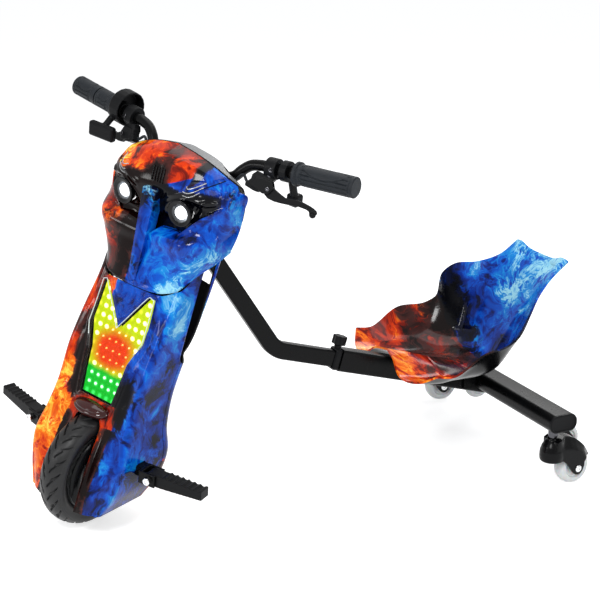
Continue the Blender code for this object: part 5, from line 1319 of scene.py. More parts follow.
def make_fin():
    # a tapering blade down the middle of the face, modelled from a block
    fin = primitive(bpy.ops.mesh.primitive_cube_add, "face_fin", size=1.0)
    bpy.ops.object.mode_set(mode="EDIT")
    bpy.ops.mesh.select_all(action="SELECT")
    bpy.ops.mesh.subdivide(number_cuts=5)
    bpy.ops.object.mode_set(mode="OBJECT")
    low, high = np.array(FIN_LOW), np.array(FIN_HIGH)
    places = places_of(fin)
    up = places[:, 2] + 0.5
    half = 0.008 + 0.0065 * up
    spine = low[None] + (high - low)[None] * up[:, None]
    depth = (places[:, 1] + 0.5) * FIN_DEPTH
    crest = 0.0022 * (np.abs(places[:, 0]) < 0.2) * (places[:, 1] < -0.4)
    put_places(fin, np.stack((places[:, 0] * 2 * half, spine[:, 0] + depth - crest, spine[:, 1]), axis=1))
    add_step(fin, "BEVEL", width=0.0026, segments=4, limit_method="ANGLE", angle_limit=math.radians(40))
    apply_all(fin)
    weld(fin)
    paint_tone(fin, fin_tone)
    settle(fin, TO_FRONT, "steering", "print", "print_front")


def make_headlights():
    for side, way in SIDES.items():
        axis = front_point(POD_WAY, way).normalized()
        base = front_point(POD, way) - axis * POD_DEPTH
        depth = POD_DEPTH
        profile = [(0.015, depth - 0.001), (0.0215, depth + 0.0005), (0.0225, depth - 0.0012),
                   (0.0205, depth - 0.0055), (0.017, 0.004), (0.0118, 0.0005), (0.0118, 0.003),
                   (0.0135, depth - 0.006)]
        bowl = lathe(side + "_reflector", rounded_profile(profile, 0.0008, 3), base, axis, steps=72)
        settle(bowl, TO_FRONT, "steering", "reflector", "bowl", replaces=(side + "_headlight_bowl",))
        dome = [(GLOW_RADIUS * math.sin(a), depth - 0.0045 + 0.005 * math.cos(a))
                for a in np.linspace(0.15, math.pi / 2, 10)]
        dome = [(0.0, depth + 0.0005), *dome, (GLOW_RADIUS, depth - 0.0085), (0.0, depth - 0.0085)]
        led = lathe(side + "_headlight_glow", dome, base, axis, steps=48, closed=False)
        settle(led, TO_FRONT, "steering", "lamp_white", "white_led", replaces=(side + "_headlight_led",))


# Handlebar, grips and brake cables

GRIP_RADIUS = 0.017
GRIP_LENGTH = 0.106
GRIP_OVERHANG = 0.003
GRIP_COLLAR_RADIUS = 0.0195
FLUTES = 14
FLUTE_DEPTH = 0.0017
TWIST_LENGTH = 0.046
FIT = 0.0003
RUNNING = 0.0008
BAR_OUT = (Vector(BAR_END) - Vector(BAR_ROUTE[-1])).normalized()
LEVER_PIVOT = (0.155, 0.206, 0.59)
BARREL_END = (0.1275, 0.199, 0.5925)
BARREL_WAY = (Vector(BARREL_END) - Vector(LEVER_PIVOT)).normalized()
CABLE_RADIUS = 0.0024
CABLE_BESIDE = 0.014


def make_handlebar():
    bar = swept("handlebar_tube", bar_line(), circle(BAR_RADIUS, 32), (0.0, 0.35, 0.94))
    settle(bar, TO_FRONT, "steering", "black_paint", "paint", replaces=("handlebar",))


def grip_radius(along, angle, top_angle, length, collar):
    # flutes that stop at a smooth palm leaf with its rim, ring cuts, a collar and a rounded end
    off = (angle - top_angle + math.pi) % math.tau - math.pi
    inner = ease(along, 0.01, 0.016) * (1 - ease(along, length - 0.01, length - 0.006))
    flute = FLUTE_DEPTH * np.clip(np.cos(angle * FLUTES), 0, 1) ** 2
    share = (along - length * 0.5) / (length * 0.4)
    leaf = abs(off) / max(0.85 * (1 - share * share), 0.02)
    plain = 1 - ease(leaf, 0.92, 1.05)
    rim = bell(leaf - 1.04, 0.07) * (abs(share) < 1.05)
    groove = flute * (1 - plain) * (1 - rim) + 0.0014 * rim
    ring_cut = 0.001 * (bell(along - 0.0125, 0.0009) + bell(along - 0.0155, 0.0009)
                         + bell(along - length + 0.0065, 0.001))
    radius = GRIP_RADIUS - groove * inner - ring_cut
    radius += (collar - GRIP_RADIUS) * (1 - ease(along, 0.005, 0.0062))
    return radius - 0.0018 * ease(along, length - 0.0022, length) ** 2


def grip_body(name, start, way, length, collar, bore_end, body, node):
    # ribbed rubber sleeve in a fine grid, with its bore, blind where that ends inside
    rings, steps = 150, 112
    turn = Vector((0, 0, 1)).rotation_difference(Vector(way).normalized()).to_matrix()
    top = turn.inverted() @ Vector((0.0, -0.45, 0.9))
    top_angle = math.atan2(top.y, top.x)
    angles = [math.tau * i / steps for i in range(steps)]

    def spot(radius, angle, along):
        return turn @ Vector((radius * math.cos(angle), radius * math.sin(angle), along)) + start

    verts = []
    for along in (length * j / (rings - 1) for j in range(rings)):
        verts += [spot(grip_radius(along, angle, top_angle, length, collar), angle, along)
                  for angle in angles]
    faces = ring_faces(rings, steps)
    last, bore, bottom = (rings - 1) * steps, rings * steps, (rings + 1) * steps
    verts += [spot(BAR_RADIUS + FIT, angle, along) for along in (0.0, bore_end) for angle in angles]
    pairs = [(i, (i + 1) % steps) for i in range(steps)]
    faces += [(i, bore + i, bore + k, k) for i, k in pairs]
    faces += [(bore + i, bottom + i, bottom + k, bore + k) for i, k in pairs]
    if bore_end < length:
        middle = len(verts)
        verts += [turn @ Vector((0, 0, bore_end)) + start, turn @ Vector((0, 0, length)) + start]
        faces += [(bottom + i, middle, bottom + k) for i, k in pairs]
        faces += [(last + i, last + k, middle + 1) for i, k in pairs]
    else:
        faces += [(last + i, last + k, bottom + k, bottom + i) for i, k in pairs]
    grip = mesh_piece(name, verts, faces)
    weld(grip, GRID_WELD)
    settle(grip, TO_FRONT, body, "rubber", "rubber", replaces=(node,))


def make_grips():
    start = Vector(BAR_END) - BAR_OUT * (GRIP_LENGTH - GRIP_OVERHANG - FIT)
    grip_body("left_grip_sleeve", start, BAR_OUT, GRIP_LENGTH, GRIP_COLLAR_RADIUS,
              GRIP_LENGTH - GRIP_OVERHANG,
              "steering", "left_grip")
    way = front_point(BAR_OUT, -1)
    fixed = GRIP_LENGTH - TWIST_LENGTH - RUNNING
    start = front_point(BAR_END, -1) - way * (fixed - GRIP_OVERHANG - FIT)
    grip_body("right_grip_sleeve", start, way, fixed, GRIP_RADIUS, fixed - GRIP_OVERHANG, "steering",
              "right_grip")
    start = start - way * (RUNNING + TWIST_LENGTH)
    grip_body("throttle_sleeve", start, way, TWIST_LENGTH, GRIP_COLLAR_RADIUS, TWIST_LENGTH, "throttle",
              "twist_throttle")


def bar_at(x):
    line = through(BAR_ROUTE, 60)
    return Vector([float(np.interp(x, line[:, 0], line[:, i])) for i in range(3)])


def make_cables():
    for side, way in SIDES.items():
        start = Vector(BARREL_END) + BARREL_WAY * FIT
        beside = Vector((0.25, -0.8, -0.6)).normalized() * CABLE_BESIDE
        route = [start, start + BARREL_WAY * 0.004, start + BARREL_WAY * 0.007]
        route += [bar_at(x) + beside for x in (0.104, 0.093, 0.082)]
        route += [Vector((0.064, 0.17, 0.572)), Vector((0.056, 0.16, 0.55))]
        points = [TO_FRONT @ front_point(point, way) for point in through(route, 36)]
        curve = bpy.data.curves.new(side + "_cable", "CURVE")
        curve.dimensions = "3D"
        curve.bevel_depth = CABLE_RADIUS
        curve.bevel_resolution = 5
        curve.use_fill_caps = True
        spline = curve.splines.new("POLY")
        spline.points.add(len(points) - 1)
        for spot, place in zip(spline.points, points):
            spot.co = (*place, 1.0)
        cable = linked(side + "_cable", curve)
        curve.materials.append(FINISHES["rubber"].material)
        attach(cable, "steering")
        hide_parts(side + "_brake_cable")


# Front wheel

WHEEL_WIDTH = 0.05
RIM_RADIUS = 0.069
TREAD_HEIGHT = 0.019
BEAD = 0.02
SIPES = 24
SIPE_DEPTH = 0.003
DISC_FACE = 0.0268
DISC_SCREW_RING = 0.034


def sipes(phase, away, width, start, stop):
    # 1 in the slanting cuts: where the phase is near a half, between the start and the stop across the tread
    cut = 1 - ease(np.abs((phase % 1.0) - 0.5), *width)
    return cut * ease(away, *start) * (1 - ease(away, *stop))


def make_tyre():
    # solid tyre with directional sipes that sweep back from the middle line
    around, across = 720, 60
    spin = np.linspace(0.0, math.tau, around, endpoint=False)[:, None]
    turn = np.linspace(0.0, math.pi, across)[None, :]
    side = WHEEL_WIDTH / 2 * np.cos(turn)
    crown = WHEEL_RADIUS - TREAD_HEIGHT + TREAD_HEIGHT * np.sin(turn) ** 0.9
    share = side / (WHEEL_WIDTH / 2)
    away = np.abs(share)
    step = spin * SIPES / math.tau
    long_cuts = sipes(step + 1.55 * away ** 1.15 + 0.5 * (share > 0), away, (0.055, 0.12), (0.06, 0.14),
                      (0.74, 0.86))
    short = sipes(step + 0.75 * away + 0.5 * (share > 0) + 0.42, away, (0.04, 0.09), (0.3, 0.38), (0.62, 0.7))
    edge = bell(away - 0.9, 0.014) * 0.5
    depth = SIPE_DEPTH * np.maximum(np.maximum(long_cuts, short), edge)
    radius = crown - depth * ease(np.sin(turn), 0.1, 0.35)
    verts = np.stack((side + 0 * spin, radius * np.cos(spin), WHEEL_RADIUS + radius * np.sin(spin)), axis=2)
    inner = [(RIM_RADIUS + 0.003, -BEAD), (RIM_RADIUS, -BEAD + 0.003), (RIM_RADIUS, BEAD - 0.003),
             (RIM_RADIUS + 0.003, BEAD)]
    lining = np.array([[(x, r * math.cos(a), WHEEL_RADIUS + r * math.sin(a)) for r,
                        x in inner] for a in spin[:, 0]])
    verts = np.concatenate((verts, lining), axis=1)
    faces = ring_faces(around, across + len(inner), loop=True)
    tyre = mesh_piece("treaded_tyre", verts.reshape(-1, 3), faces)
    weld(tyre, FINE_WELD)
    settle(tyre, TO_FRONT, "front_wheel", "tyre", "tread", replaces=("front_tyre",))


def make_covers():
    # dished hub covers with a raised rim
    profile = [(0.01, 0.028), (0.015, 0.029), (0.022, 0.029), (0.0245, 0.0272), (0.046, DISC_FACE),
               (0.0495, 0.0288), (0.056, 0.0288), (0.064, 0.0268), (0.0678, 0.0245), (0.0678, 0.0238),
               (0.01, 0.0238)]
    for side, way in SIDES.items():
        cover = lathe(side + "_wheel_disc", rounded_profile(profile, 0.0012, 3), HUB, (way, 0, 0), steps=96)
        settle(cover, TO_FRONT, "front_wheel", "black_plastic", "shell_black",
               replaces=(side + "_hub_cover",))


def socket_screw(name, radius, height):
    # a round-headed screw from a cylinder: crowned edge, recessed socket
    screw = primitive(bpy.ops.mesh.primitive_cylinder_add, name, vertices=36, radius=radius, depth=height,
                      location=(0, 0, height / 2))
    bpy.ops.object.mode_set(mode="EDIT")
    shape = bmesh.from_edit_mesh(screw.data)
    for face in shape.faces:
        face.select_set(face.normal.z > 0.9)
    bmesh.update_edit_mesh(screw.data)
    bpy.ops.mesh.inset(thickness=radius * 0.16)
    bpy.ops.transform.translate(value=(0, 0, height * 0.18))
    bpy.ops.mesh.inset(thickness=radius * 0.34)
    bpy.ops.mesh.extrude_region_move(TRANSFORM_OT_translate={"value": (0, 0, -height * 0.55)})
    bpy.ops.object.mode_set(mode="OBJECT")
    bpy.ops.object.transform_apply(location=True, rotation=True, scale=True)
    add_step(screw, "BEVEL", width=radius * 0.07, segments=2, limit_method="ANGLE",
             angle_limit=math.radians(35))
    apply_all(screw)
    return screw


def copy_to(piece, name, place, way):
    made = linked(name, piece.data.copy())
    turn = Vector((0, 0, 1)).rotation_difference(Vector(way)).to_matrix().to_4x4()
    made.data.transform(Matrix.Translation(place) @ turn)
    return made


PEG_PIVOT = (0.1327, 0.009, 0.137)
PEG_TURN = math.atan2(0.016, 0.2298 - 0.1327)
PEG_BOLT_REACH = 0.0192


def make_screws():
    small = socket_screw("small_screw", 0.0032, 0.0018)
    large = socket_screw("large_screw", 0.0062, 0.003)
    for side, way in SIDES.items():
        for k in range(3):
            angle = math.tau * k / 3 + 0.5
            ring = DISC_SCREW_RING
            place = HUB + Vector((way * DISC_FACE, ring * math.cos(angle), ring * math.sin(angle)))
            screw = copy_to(small, f"{side}_disc_screw_{k}", place, (way, 0, 0))
            settle(screw, TO_FRONT, "front_wheel", "steel", "steel")
        hinge = Quaternion((0, 0, 1), way * PEG_TURN) @ Vector((0, 1, 0))
        place = front_point(PEG_PIVOT, way) - hinge * PEG_BOLT_REACH
        screw = copy_to(large, side + "_peg_bolt", place, -hinge)
        settle(screw, TO_FRONT, "steering", "steel", "chrome")
    for spare in (small, large):
        bpy.data.objects.remove(spare, do_unlink=True)


# Frame tubes

MAIN_TOP = (0.158, 0.535)
MAIN_BEND = (0.3366, 0.2515)
MAIN_REAR = (0.7665, 0.121)
MAIN_BEND_RADIUS = 0.05
MAIN_HEIGHT = 0.03
MAIN_WIDTH = 0.02
MAIN_INSERT = 0.17
SLEEVE_START = 0.461
SLEEVE_HEIGHT = 0.04
SLEEVE_WIDTH = 0.03
SLEEVE_WALL = 0.0038
CROSS_Y = 0.7665
CROSS_Z = 0.1285
CROSS_DEPTH = 0.055
CROSS_HEIGHT = 0.032
CROSS_HALF_LENGTH = 0.2542
CAP_THICKNESS = 0.004
CROSS_CORNER = 0.015
RAKE = math.radians(20)
HEAD_TUBE_LOW = 0.396
HEAD_TUBE_LENGTH = 0.1
HEAD_TUBE_OUTER = 0.019
HEAD_TUBE_INNER = 0.015
REAR_WAY = Vector((0.0, MAIN_REAR[0] - MAIN_BEND[0], MAIN_REAR[1] - MAIN_BEND[1])).normalized()
SLEEVE_FROM = Vector((0.0, SLEEVE_START,
                      MAIN_BEND[1] + (SLEEVE_START - MAIN_BEND[0]) * REAR_WAY.z / REAR_WAY.y))


def on_rear(along):
    return SLEEVE_FROM + REAR_WAY * along


def bend_line(start, corner, end, radius):
    # a line in the middle plane with a round bend at its corner
    steps = 28
    start, corner, end = Vector(start), Vector(corner), Vector(end)
    back, ahead = (start - corner).normalized(), (end - corner).normalized()
    half = back.angle(ahead) / 2
    reach = radius / math.tan(half)
    centre = corner + (back + ahead).normalized() * radius / math.sin(half)
    first, last = corner + back * reach - centre, corner + ahead * reach - centre
    sweep = first.angle_signed(last)
    arc = [centre + Matrix.Rotation(-sweep * k / steps, 2) @ first for k in range(steps + 1)]
    return [(0.0, point.x, point.y) for point in (start, *arc, end)]


def make_cap(side, way):
    # a push-in cap: rounded face, a sunk panel and its rim
    sizes = ((-CAP_THICKNESS, 1.0), (-0.0016, 1.0), (-0.0005, 0.985), (0.0, 0.94), (0.0, 0.8),
             (-0.0012, 0.77),
             (-0.0014, 0.7))
    verts = []
    for offset, scale in sizes:
        grow = CROSS_HEIGHT / 2 * (1 - scale)
        section = box_outline(CROSS_DEPTH - 2 * grow, CROSS_HEIGHT - 2 * grow,
                              max(CROSS_CORNER - grow, 0.002), 14)
        verts += [(way * (CROSS_HALF_LENGTH + offset), CROSS_Y + a, CROSS_Z + b) for a, b in section]
    count = len(section)
    cap = mesh_piece(side + "_bar_cap", verts, ring_faces(len(sizes), count) + end_faces(len(sizes), count))
    weld(cap, GRID_WELD)
    settle(cap, TO_REAR, "rear", "black_plastic", "plastic", replaces=(side + "_end_cap",))


def make_frame():
    end = on_rear(MAIN_INSERT)
    tube = swept("main_tube", bend_line(MAIN_TOP, MAIN_BEND, (end.y, end.z), MAIN_BEND_RADIUS),
                 box_outline(MAIN_WIDTH, MAIN_HEIGHT, 0.004, 6), (1, 0, 0))
    up = Vector((0.0, math.sin(RAKE), math.cos(RAKE)))
    ring = [(HEAD_TUBE_OUTER, 0.0), (HEAD_TUBE_OUTER, HEAD_TUBE_LENGTH), (HEAD_TUBE_INNER, HEAD_TUBE_LENGTH),
            (HEAD_TUBE_INNER, 0.0)]
    head_tube = lathe("head_tube", rounded_profile(ring, 0.0008, 3), HUB + up * HEAD_TUBE_LOW, up, steps=64)
    settle(joined("main_tube", [tube, head_tube]), TO_REAR, "frame", "black_paint", "paint",
           replaces=("front_frame",))

    length = (CROSS_Y - SLEEVE_START) / REAR_WAY.y
    sleeve = swept("rear_sleeve", [on_rear(0.0), on_rear(0.0015), on_rear(length)],
                   box_outline(SLEEVE_WIDTH, SLEEVE_HEIGHT, 0.005, 6), (1, 0, 0), closed_ends=False)
    add_step(sleeve, "SOLIDIFY", thickness=SLEEVE_WALL, offset=-1.0, use_even_offset=True)
    apply_all(sleeve)
    weld(sleeve)
    half = CROSS_HALF_LENGTH - CAP_THICKNESS - FIT
    bar = swept("crossbar_tube", [(x, CROSS_Y, CROSS_Z) for x in (-half, -half + 0.001, half - 0.001, half)],
                box_outline(CROSS_DEPTH, CROSS_HEIGHT, CROSS_CORNER, 14), (0, 1, 0))
    settle(joined("rear_frame_tubes", [bar, sleeve]), TO_REAR, "rear", "black_paint", "paint",
           replaces=("rear_frame",))
    for side, way in SIDES.items():
        make_cap(side, way)


# Seat

SEAT_WALL = 0.0035
SEAT_RIBS = (
    ((0, 0.559, 0.214), (0.03, 0.553, 0.209), (0.065, 0.547, 0.187), (0.118, 0.558, 0.19),
     (0.147, 0.575, 0.207)),
    ((0, 0.6, 0.201), (0.03, 0.598, 0.19), (0.065, 0.596, 0.175), (0.118, 0.6, 0.184), (0.149, 0.606, 0.203)),
    ((0, 0.655, 0.183), (0.03, 0.655, 0.178), (0.065, 0.656, 0.168), (0.118, 0.66, 0.188),
     (0.152, 0.668, 0.235)),
    ((0, 0.715, 0.173), (0.03, 0.715, 0.171), (0.065, 0.715, 0.169), (0.113, 0.718, 0.192),
     (0.142, 0.724, 0.24)),
    ((0, 0.765, 0.181), (0.03, 0.764, 0.181), (0.062, 0.757, 0.186), (0.106, 0.745, 0.212),
     (0.1395, 0.742, 0.248)),
    ((0, 0.797, 0.218), (0.03, 0.795, 0.219), (0.06, 0.787, 0.224), (0.102, 0.771, 0.246),
     (0.146, 0.764, 0.294)),
    ((0, 0.815, 0.25), (0.03, 0.813, 0.251), (0.06, 0.807, 0.256), (0.096, 0.794, 0.276),
     (0.136, 0.78, 0.309)),
    ((0, 0.838, 0.29), (0.03, 0.837, 0.29), (0.057, 0.833, 0.293), (0.082, 0.826, 0.303),
     (0.1055, 0.8146, 0.3177)),
    ((0, 0.862, 0.325), (0.028, 0.861, 0.325), (0.05, 0.859, 0.327), (0.07, 0.855, 0.33),
     (0.0845, 0.85, 0.332)),
    ((0, 0.888, 0.348), (0.028, 0.887, 0.349), (0.045, 0.886, 0.352), (0.064, 0.885, 0.3585),
     (0.0805, 0.886, 0.356)),
)
SEAT_MIDDLE = (0.0, 0.66, 0.33)


def seat_tone(x, y, z):
    # fire round the lip and the rider's right wing, soot in the pan, smoke up the back
    turn = 0.735 - 0.2 * x
    warm = 1 - ease(y + 0.35 * (z - 0.19), turn - 0.02, turn + 0.02)
    dark = 0.24 + 0.36 * bell(y - 0.73, 0.026) + 0.42 * bell(x + 0.1, 0.035) * bell(y - 0.765, 0.022)
    dark = dark + 0.34 * bell(y - 0.668, 0.03) - 0.3 * ease(y, 0.785, 0.81) - 0.14 * ease(0.6 - y, 0.0, 0.03)
    dark = dark - 0.22 * bell(x + 0.118, 0.03) * bell(y - 0.64, 0.03)
    light = 0.34 * ease(0.625 - y, 0.0, 0.04) + 0.5 * ease(y, 0.785, 0.83) + 0.14 * ease(z, 0.285, 0.335)
    light = (light + 0.2 * bell(x, 0.06) * ease(y, 0.8, 0.82)
             + 0.28 * bell(x + 0.118, 0.03) * bell(y - 0.64, 0.03))
    return np.array((warm, dark, light))


def make_seat():
    columns, rows = 90, 200
    grid = skin(SEAT_RIBS, columns, rows)
    x, y, z = (grid[:, :, i] for i in range(3))
    side = np.linspace(0, 1, columns)[None, :]
    up = np.linspace(0, 1, rows)[:, None]
    crease = bell(x - 0.08 - 0.25 * (z - 0.215), 0.0022) * ease(z, 0.188, 0.198) * (1 - ease(z, 0.236, 0.246))
    branch = bell(z - 0.199 - 0.12 * (y - 0.75), 0.002) * ease(x, 0.046, 0.056) * (1 - ease(x, 0.082, 0.088))
    folds = crease * (y > 0.72) + branch * (y > 0.7)
    pan = bell(y - 0.695, 0.003) * (1 - ease(np.abs(x), 0.07, 0.085))
    pan = pan + bell(y - 0.64, 0.003) * (1 - ease(np.abs(x), 0.06, 0.075))
    slot = np.maximum(np.abs(x - 0.048) / 0.015, np.abs(z - 0.34 - 0.1 * (x - 0.048)) / 0.005)
    slot = (1 - ease(slot, 0.75, 1.0)) * (y > 0.84)
    lift = 0.0016 * folds + 0.0009 * pan + 0.003 * slot
    edge = np.minimum(ease(up, 0, 0.02), ease(1 - up, 0, 0.02)) * ease(1 - side, 0, 0.03)
    grid = grid + outward(grid, SEAT_MIDDLE) * (lift * edge)[:, :, None]
    grid[:, 0, 0] = 0.0
    verts, faces = grid.reshape(-1, 3), grid_faces(rows, columns)
    # the ribs give the underside; the wall grows from it towards the rider and takes the print
    seat = shell("bucket_seat", verts, faces, SEAT_WALL, SEAT_MIDDLE, ("shell_black", "print_seat"),
                 tone=seat_tone,
                 even=False)
    settle(seat, TO_REAR, "rear", "print", replaces=("seat_shell",), angle=50)


# Casters and rollers

CASTER_X = 0.2255
CASTER_Y = 0.7655
CASTER_RADIUS = 0.0315
REAR_GROUND = 0.0008
CASTER_WIDTH = 0.027
CASTER_TRAIL = 0.0436
CASTER_TURN = {"left": math.radians(3.5), "right": math.radians(-7.1)}
ROLLER_X = 0.1475
ROLLER_Y = 0.849
ROLLER_Z = 0.049
ROLLER_RADIUS = 0.026
ROLLER_WIDTH = 0.022
ROLLER_BORE = 0.0043
AXLE_END = 0.0206
AXLE_END_PROFILE = ((0.0, 0.0), (0.0062, 0.0), (0.0062, 0.0012), (0.0044, 0.0024), (0.0028, 0.0024),
                    (0.0024, 0.0014),
                    (0.0, 0.0014))


def wheel_profile(radius, width):
    half = width / 2
    rows = [(ROLLER_BORE, half - 0.003), (radius * 0.3, half - 0.003), (radius * 0.34, half - 0.0042),
            (radius * 0.58, half - 0.0042), (radius * 0.64, half - 0.0008)]
    tread = [(radius - 0.0065 + 0.0065 * math.sin(turn), (half - 0.0005) * math.cos(turn))
             for turn in np.linspace(0.0, math.pi, 17)]
    return rows + tread + [(r, -x) for r, x in reversed(rows)]


def caster_matrix(side):
    pivot = Vector((SIDES[side] * CASTER_X, CASTER_Y, 0.0))
    return TO_REAR @ Matrix.Translation(pivot) @ Matrix.Rotation(CASTER_TURN[side], 4,
                                                                 "Z") @ Matrix.Translation(-pivot)


def slab(name, outline, thickness, axis="X"):
    # a flat outline given its thickness, half on each side of the plane across the axis
    verts = []
    for level in (-thickness / 2, thickness / 2):
        verts += [(level, a, b) if axis == "X" else (a, b, level) for a, b in outline]
    piece = mesh_piece(name, verts, end_faces(2, len(outline)) + ring_faces(2, len(outline)))
    weld(piece, FINE_WELD)
    return piece


def fused(name, pieces, voxel, soften):
    # overlapping solids grown into one moulding with soft inner corners
    body = joined(name, pieces)
    grown(body, voxel, soften)
    return body


def cut_out(body, tools):
    for tool in tools:
        add_step(body, "BOOLEAN", operation="DIFFERENCE", solver="EXACT", object=tool)
        apply_all(body)
        bpy.data.objects.remove(tool, do_unlink=True)


HOOD_HALF_WIDTH = 0.0203
WELL_RADIUS = 0.0329
WELL_HALF_WIDTH = 0.0143
BEARING_BORE = 0.0076
HOOD_OUTLINE = ((-0.004, 0.0525), (-0.004, 0.089), (0.006, 0.0935), (0.018, 0.0945), (0.03, 0.092),
                (0.042, 0.0865),
                (0.054, 0.0775), (0.064, 0.068), (0.0725, 0.0575), (0.0795, 0.047), (0.0765, 0.0452),
                (0.07, 0.0475),
                (0.063, 0.047), (0.0585, 0.0425), (0.058, 0.034), (0.0545, 0.0255), (0.049, 0.0205),
                (0.0436, 0.0195),
                (0.038, 0.0215), (0.0325, 0.0275), (0.027, 0.036), (0.02, 0.045), (0.011, 0.0515))
HOOD_DOME = ((0.0, 0.0505), (0.0195, 0.0505), (0.0215, 0.053), (0.0222, 0.06), (0.0215, 0.07),
             (0.0185, 0.079),
             (0.014, 0.086), (0.0105, 0.09), (0.0095, 0.0935), (0.0, 0.0935))


def caster_cover():
    # swept hood over the wheel, growing out of a domed bearing housing; made once about its pivot
    wing = slab("wing", HOOD_OUTLINE, 2 * HOOD_HALF_WIDTH)
    dome = lathe("dome", HOOD_DOME, (0, 0, 0), (0, 0, 1), steps=48, closed=False)
    hood = fused("caster_cover", [wing, dome], 0.001, 2)
    places = places_of(hood)
    ridge = np.array(HOOD_OUTLINE[1:10])
    crest = np.interp(places[:, 1], ridge[:, 0], ridge[:, 1])
    behind = ease(places[:, 1], 0.002, 0.02)
    rounding = 1 - 0.5 * (1 - ease((crest - places[:, 2]) / 0.024, 0.0, 1.0)) * behind
    places[:, 0] *= rounding * (1 - 0.6 * ease(places[:, 1], 0.06, 0.081))
    put_places(hood, places)
    add_step(hood, "SMOOTH", factor=0.5, iterations=8)
    apply_all(hood)
    well = rod("well", WELL_RADIUS, -WELL_HALF_WIDTH, WELL_HALF_WIDTH,
               (0, CASTER_TRAIL, REAR_GROUND + CASTER_RADIUS), (1, 0, 0), 72)
    bore = rod("bore", BEARING_BORE, 0.04, 0.1, (0, 0, 0), (0, 0, 1), 32)
    cut_out(hood, [well, bore])
    return hood


# Brake levers: outlines in the plane of the lever, along its blade and up towards the bar, from its pivot

LEVER_TIP = (0.229, 0.226, 0.566)
CLAMP_AT = (0.152, 0.2188, 0.6216)
LEVER_OUTLINE = ((-0.0088, 0.0), (-0.0068, 0.0054), (-0.0015, 0.0078), (0.005, 0.007), (0.012, 0.0052),
                 (0.021, 0.0036),
                 (0.03, 0.0024), (0.04, 0.006), (0.05, 0.0092), (0.06, 0.0106), (0.07, 0.011),
                 (0.0777, 0.0106),
                 (0.0836, 0.0092), (0.0866, 0.006), (0.085, -0.001), (0.0795, -0.0036), (0.0765, -0.001),
                 (0.074, 0.0024), (0.0683, 0.003), (0.0511, 0.0), (0.0382, -0.0056), (0.0268, -0.0092),
                 (0.0169, -0.0118), (0.006, -0.0125), (-0.003, -0.009), (-0.0075, -0.005))
PERCH_OUTLINE = ((-0.037, -0.0085), (-0.032, 0.002), (-0.0335, 0.0086), (-0.029, 0.017), (-0.0169, 0.0178),
                 (-0.016, 0.0253), (-0.019, 0.04), (0.004, 0.044), (0.006, 0.0317), (0.002, 0.016),
                 (-0.001, 0.0112), (-0.0085, 0.0095), (-0.0132, 0.005), (-0.0134, -0.003), (-0.012, -0.012),
                 (-0.02, -0.013), (-0.035, -0.0125))
EAR_OUTLINE = ((-0.0262, -0.008), (-0.0266, 0.008), (-0.008, 0.013), (0.0015, 0.013), (0.0082, 0.0045),
               (0.004, -0.0075), (-0.005, -0.01))
BLADE_THICKNESS = 0.0064
PERCH_THICKNESS = 0.013
EAR_THICKNESS = 0.002
EAR_ASIDE = 0.0063
CLAMP_HALF_WIDTH = 0.01
CLAMP_RADIUS = 0.0168
PERCH_SCREWS = (("clamp_screw", (-0.008, 0.0285, 0.015)), ("lock_screw", (-0.008, 0.0205, 0.0064)),
                ("pivot_screw", (0.0, 0.0, 0.0072)))
BARREL_PROFILE = ((0.0, -0.012), (0.0068, -0.012), (0.0068, -0.006), (0.0058, -0.005), (0.0058, 0.0),
                  (0.0, 0.0))
BOOT_PROFILE = ((CABLE_RADIUS + 0.0001, 0.0), (0.0046, 0.0), (0.0048, 0.0012), (0.004, 0.002),
                (0.0041, 0.0036),
                (0.0034, 0.0044), (0.0035, 0.0058), (0.0028, 0.0068), (CABLE_RADIUS + 0.0001, 0.0068))


def lever_plane():
    along = (Vector(LEVER_TIP) - Vector(LEVER_PIVOT)).normalized()
    facing = along.cross(Vector(CLAMP_AT) - Vector(LEVER_PIVOT)).normalized()
    turn = Matrix((along, facing.cross(along), facing)).transposed().to_4x4()
    return Matrix.Translation(LEVER_PIVOT) @ turn


def both_sides(piece, label):
    # the piece on the rider's left, and its mirror image
    piece.name = "left_" + label
    other = linked("right_" + label, piece.data.copy())
    other.data.transform(Matrix.Diagonal((-1, 1, 1, 1)))
    other.data.flip_normals()
    return ("left", piece), ("right", other)


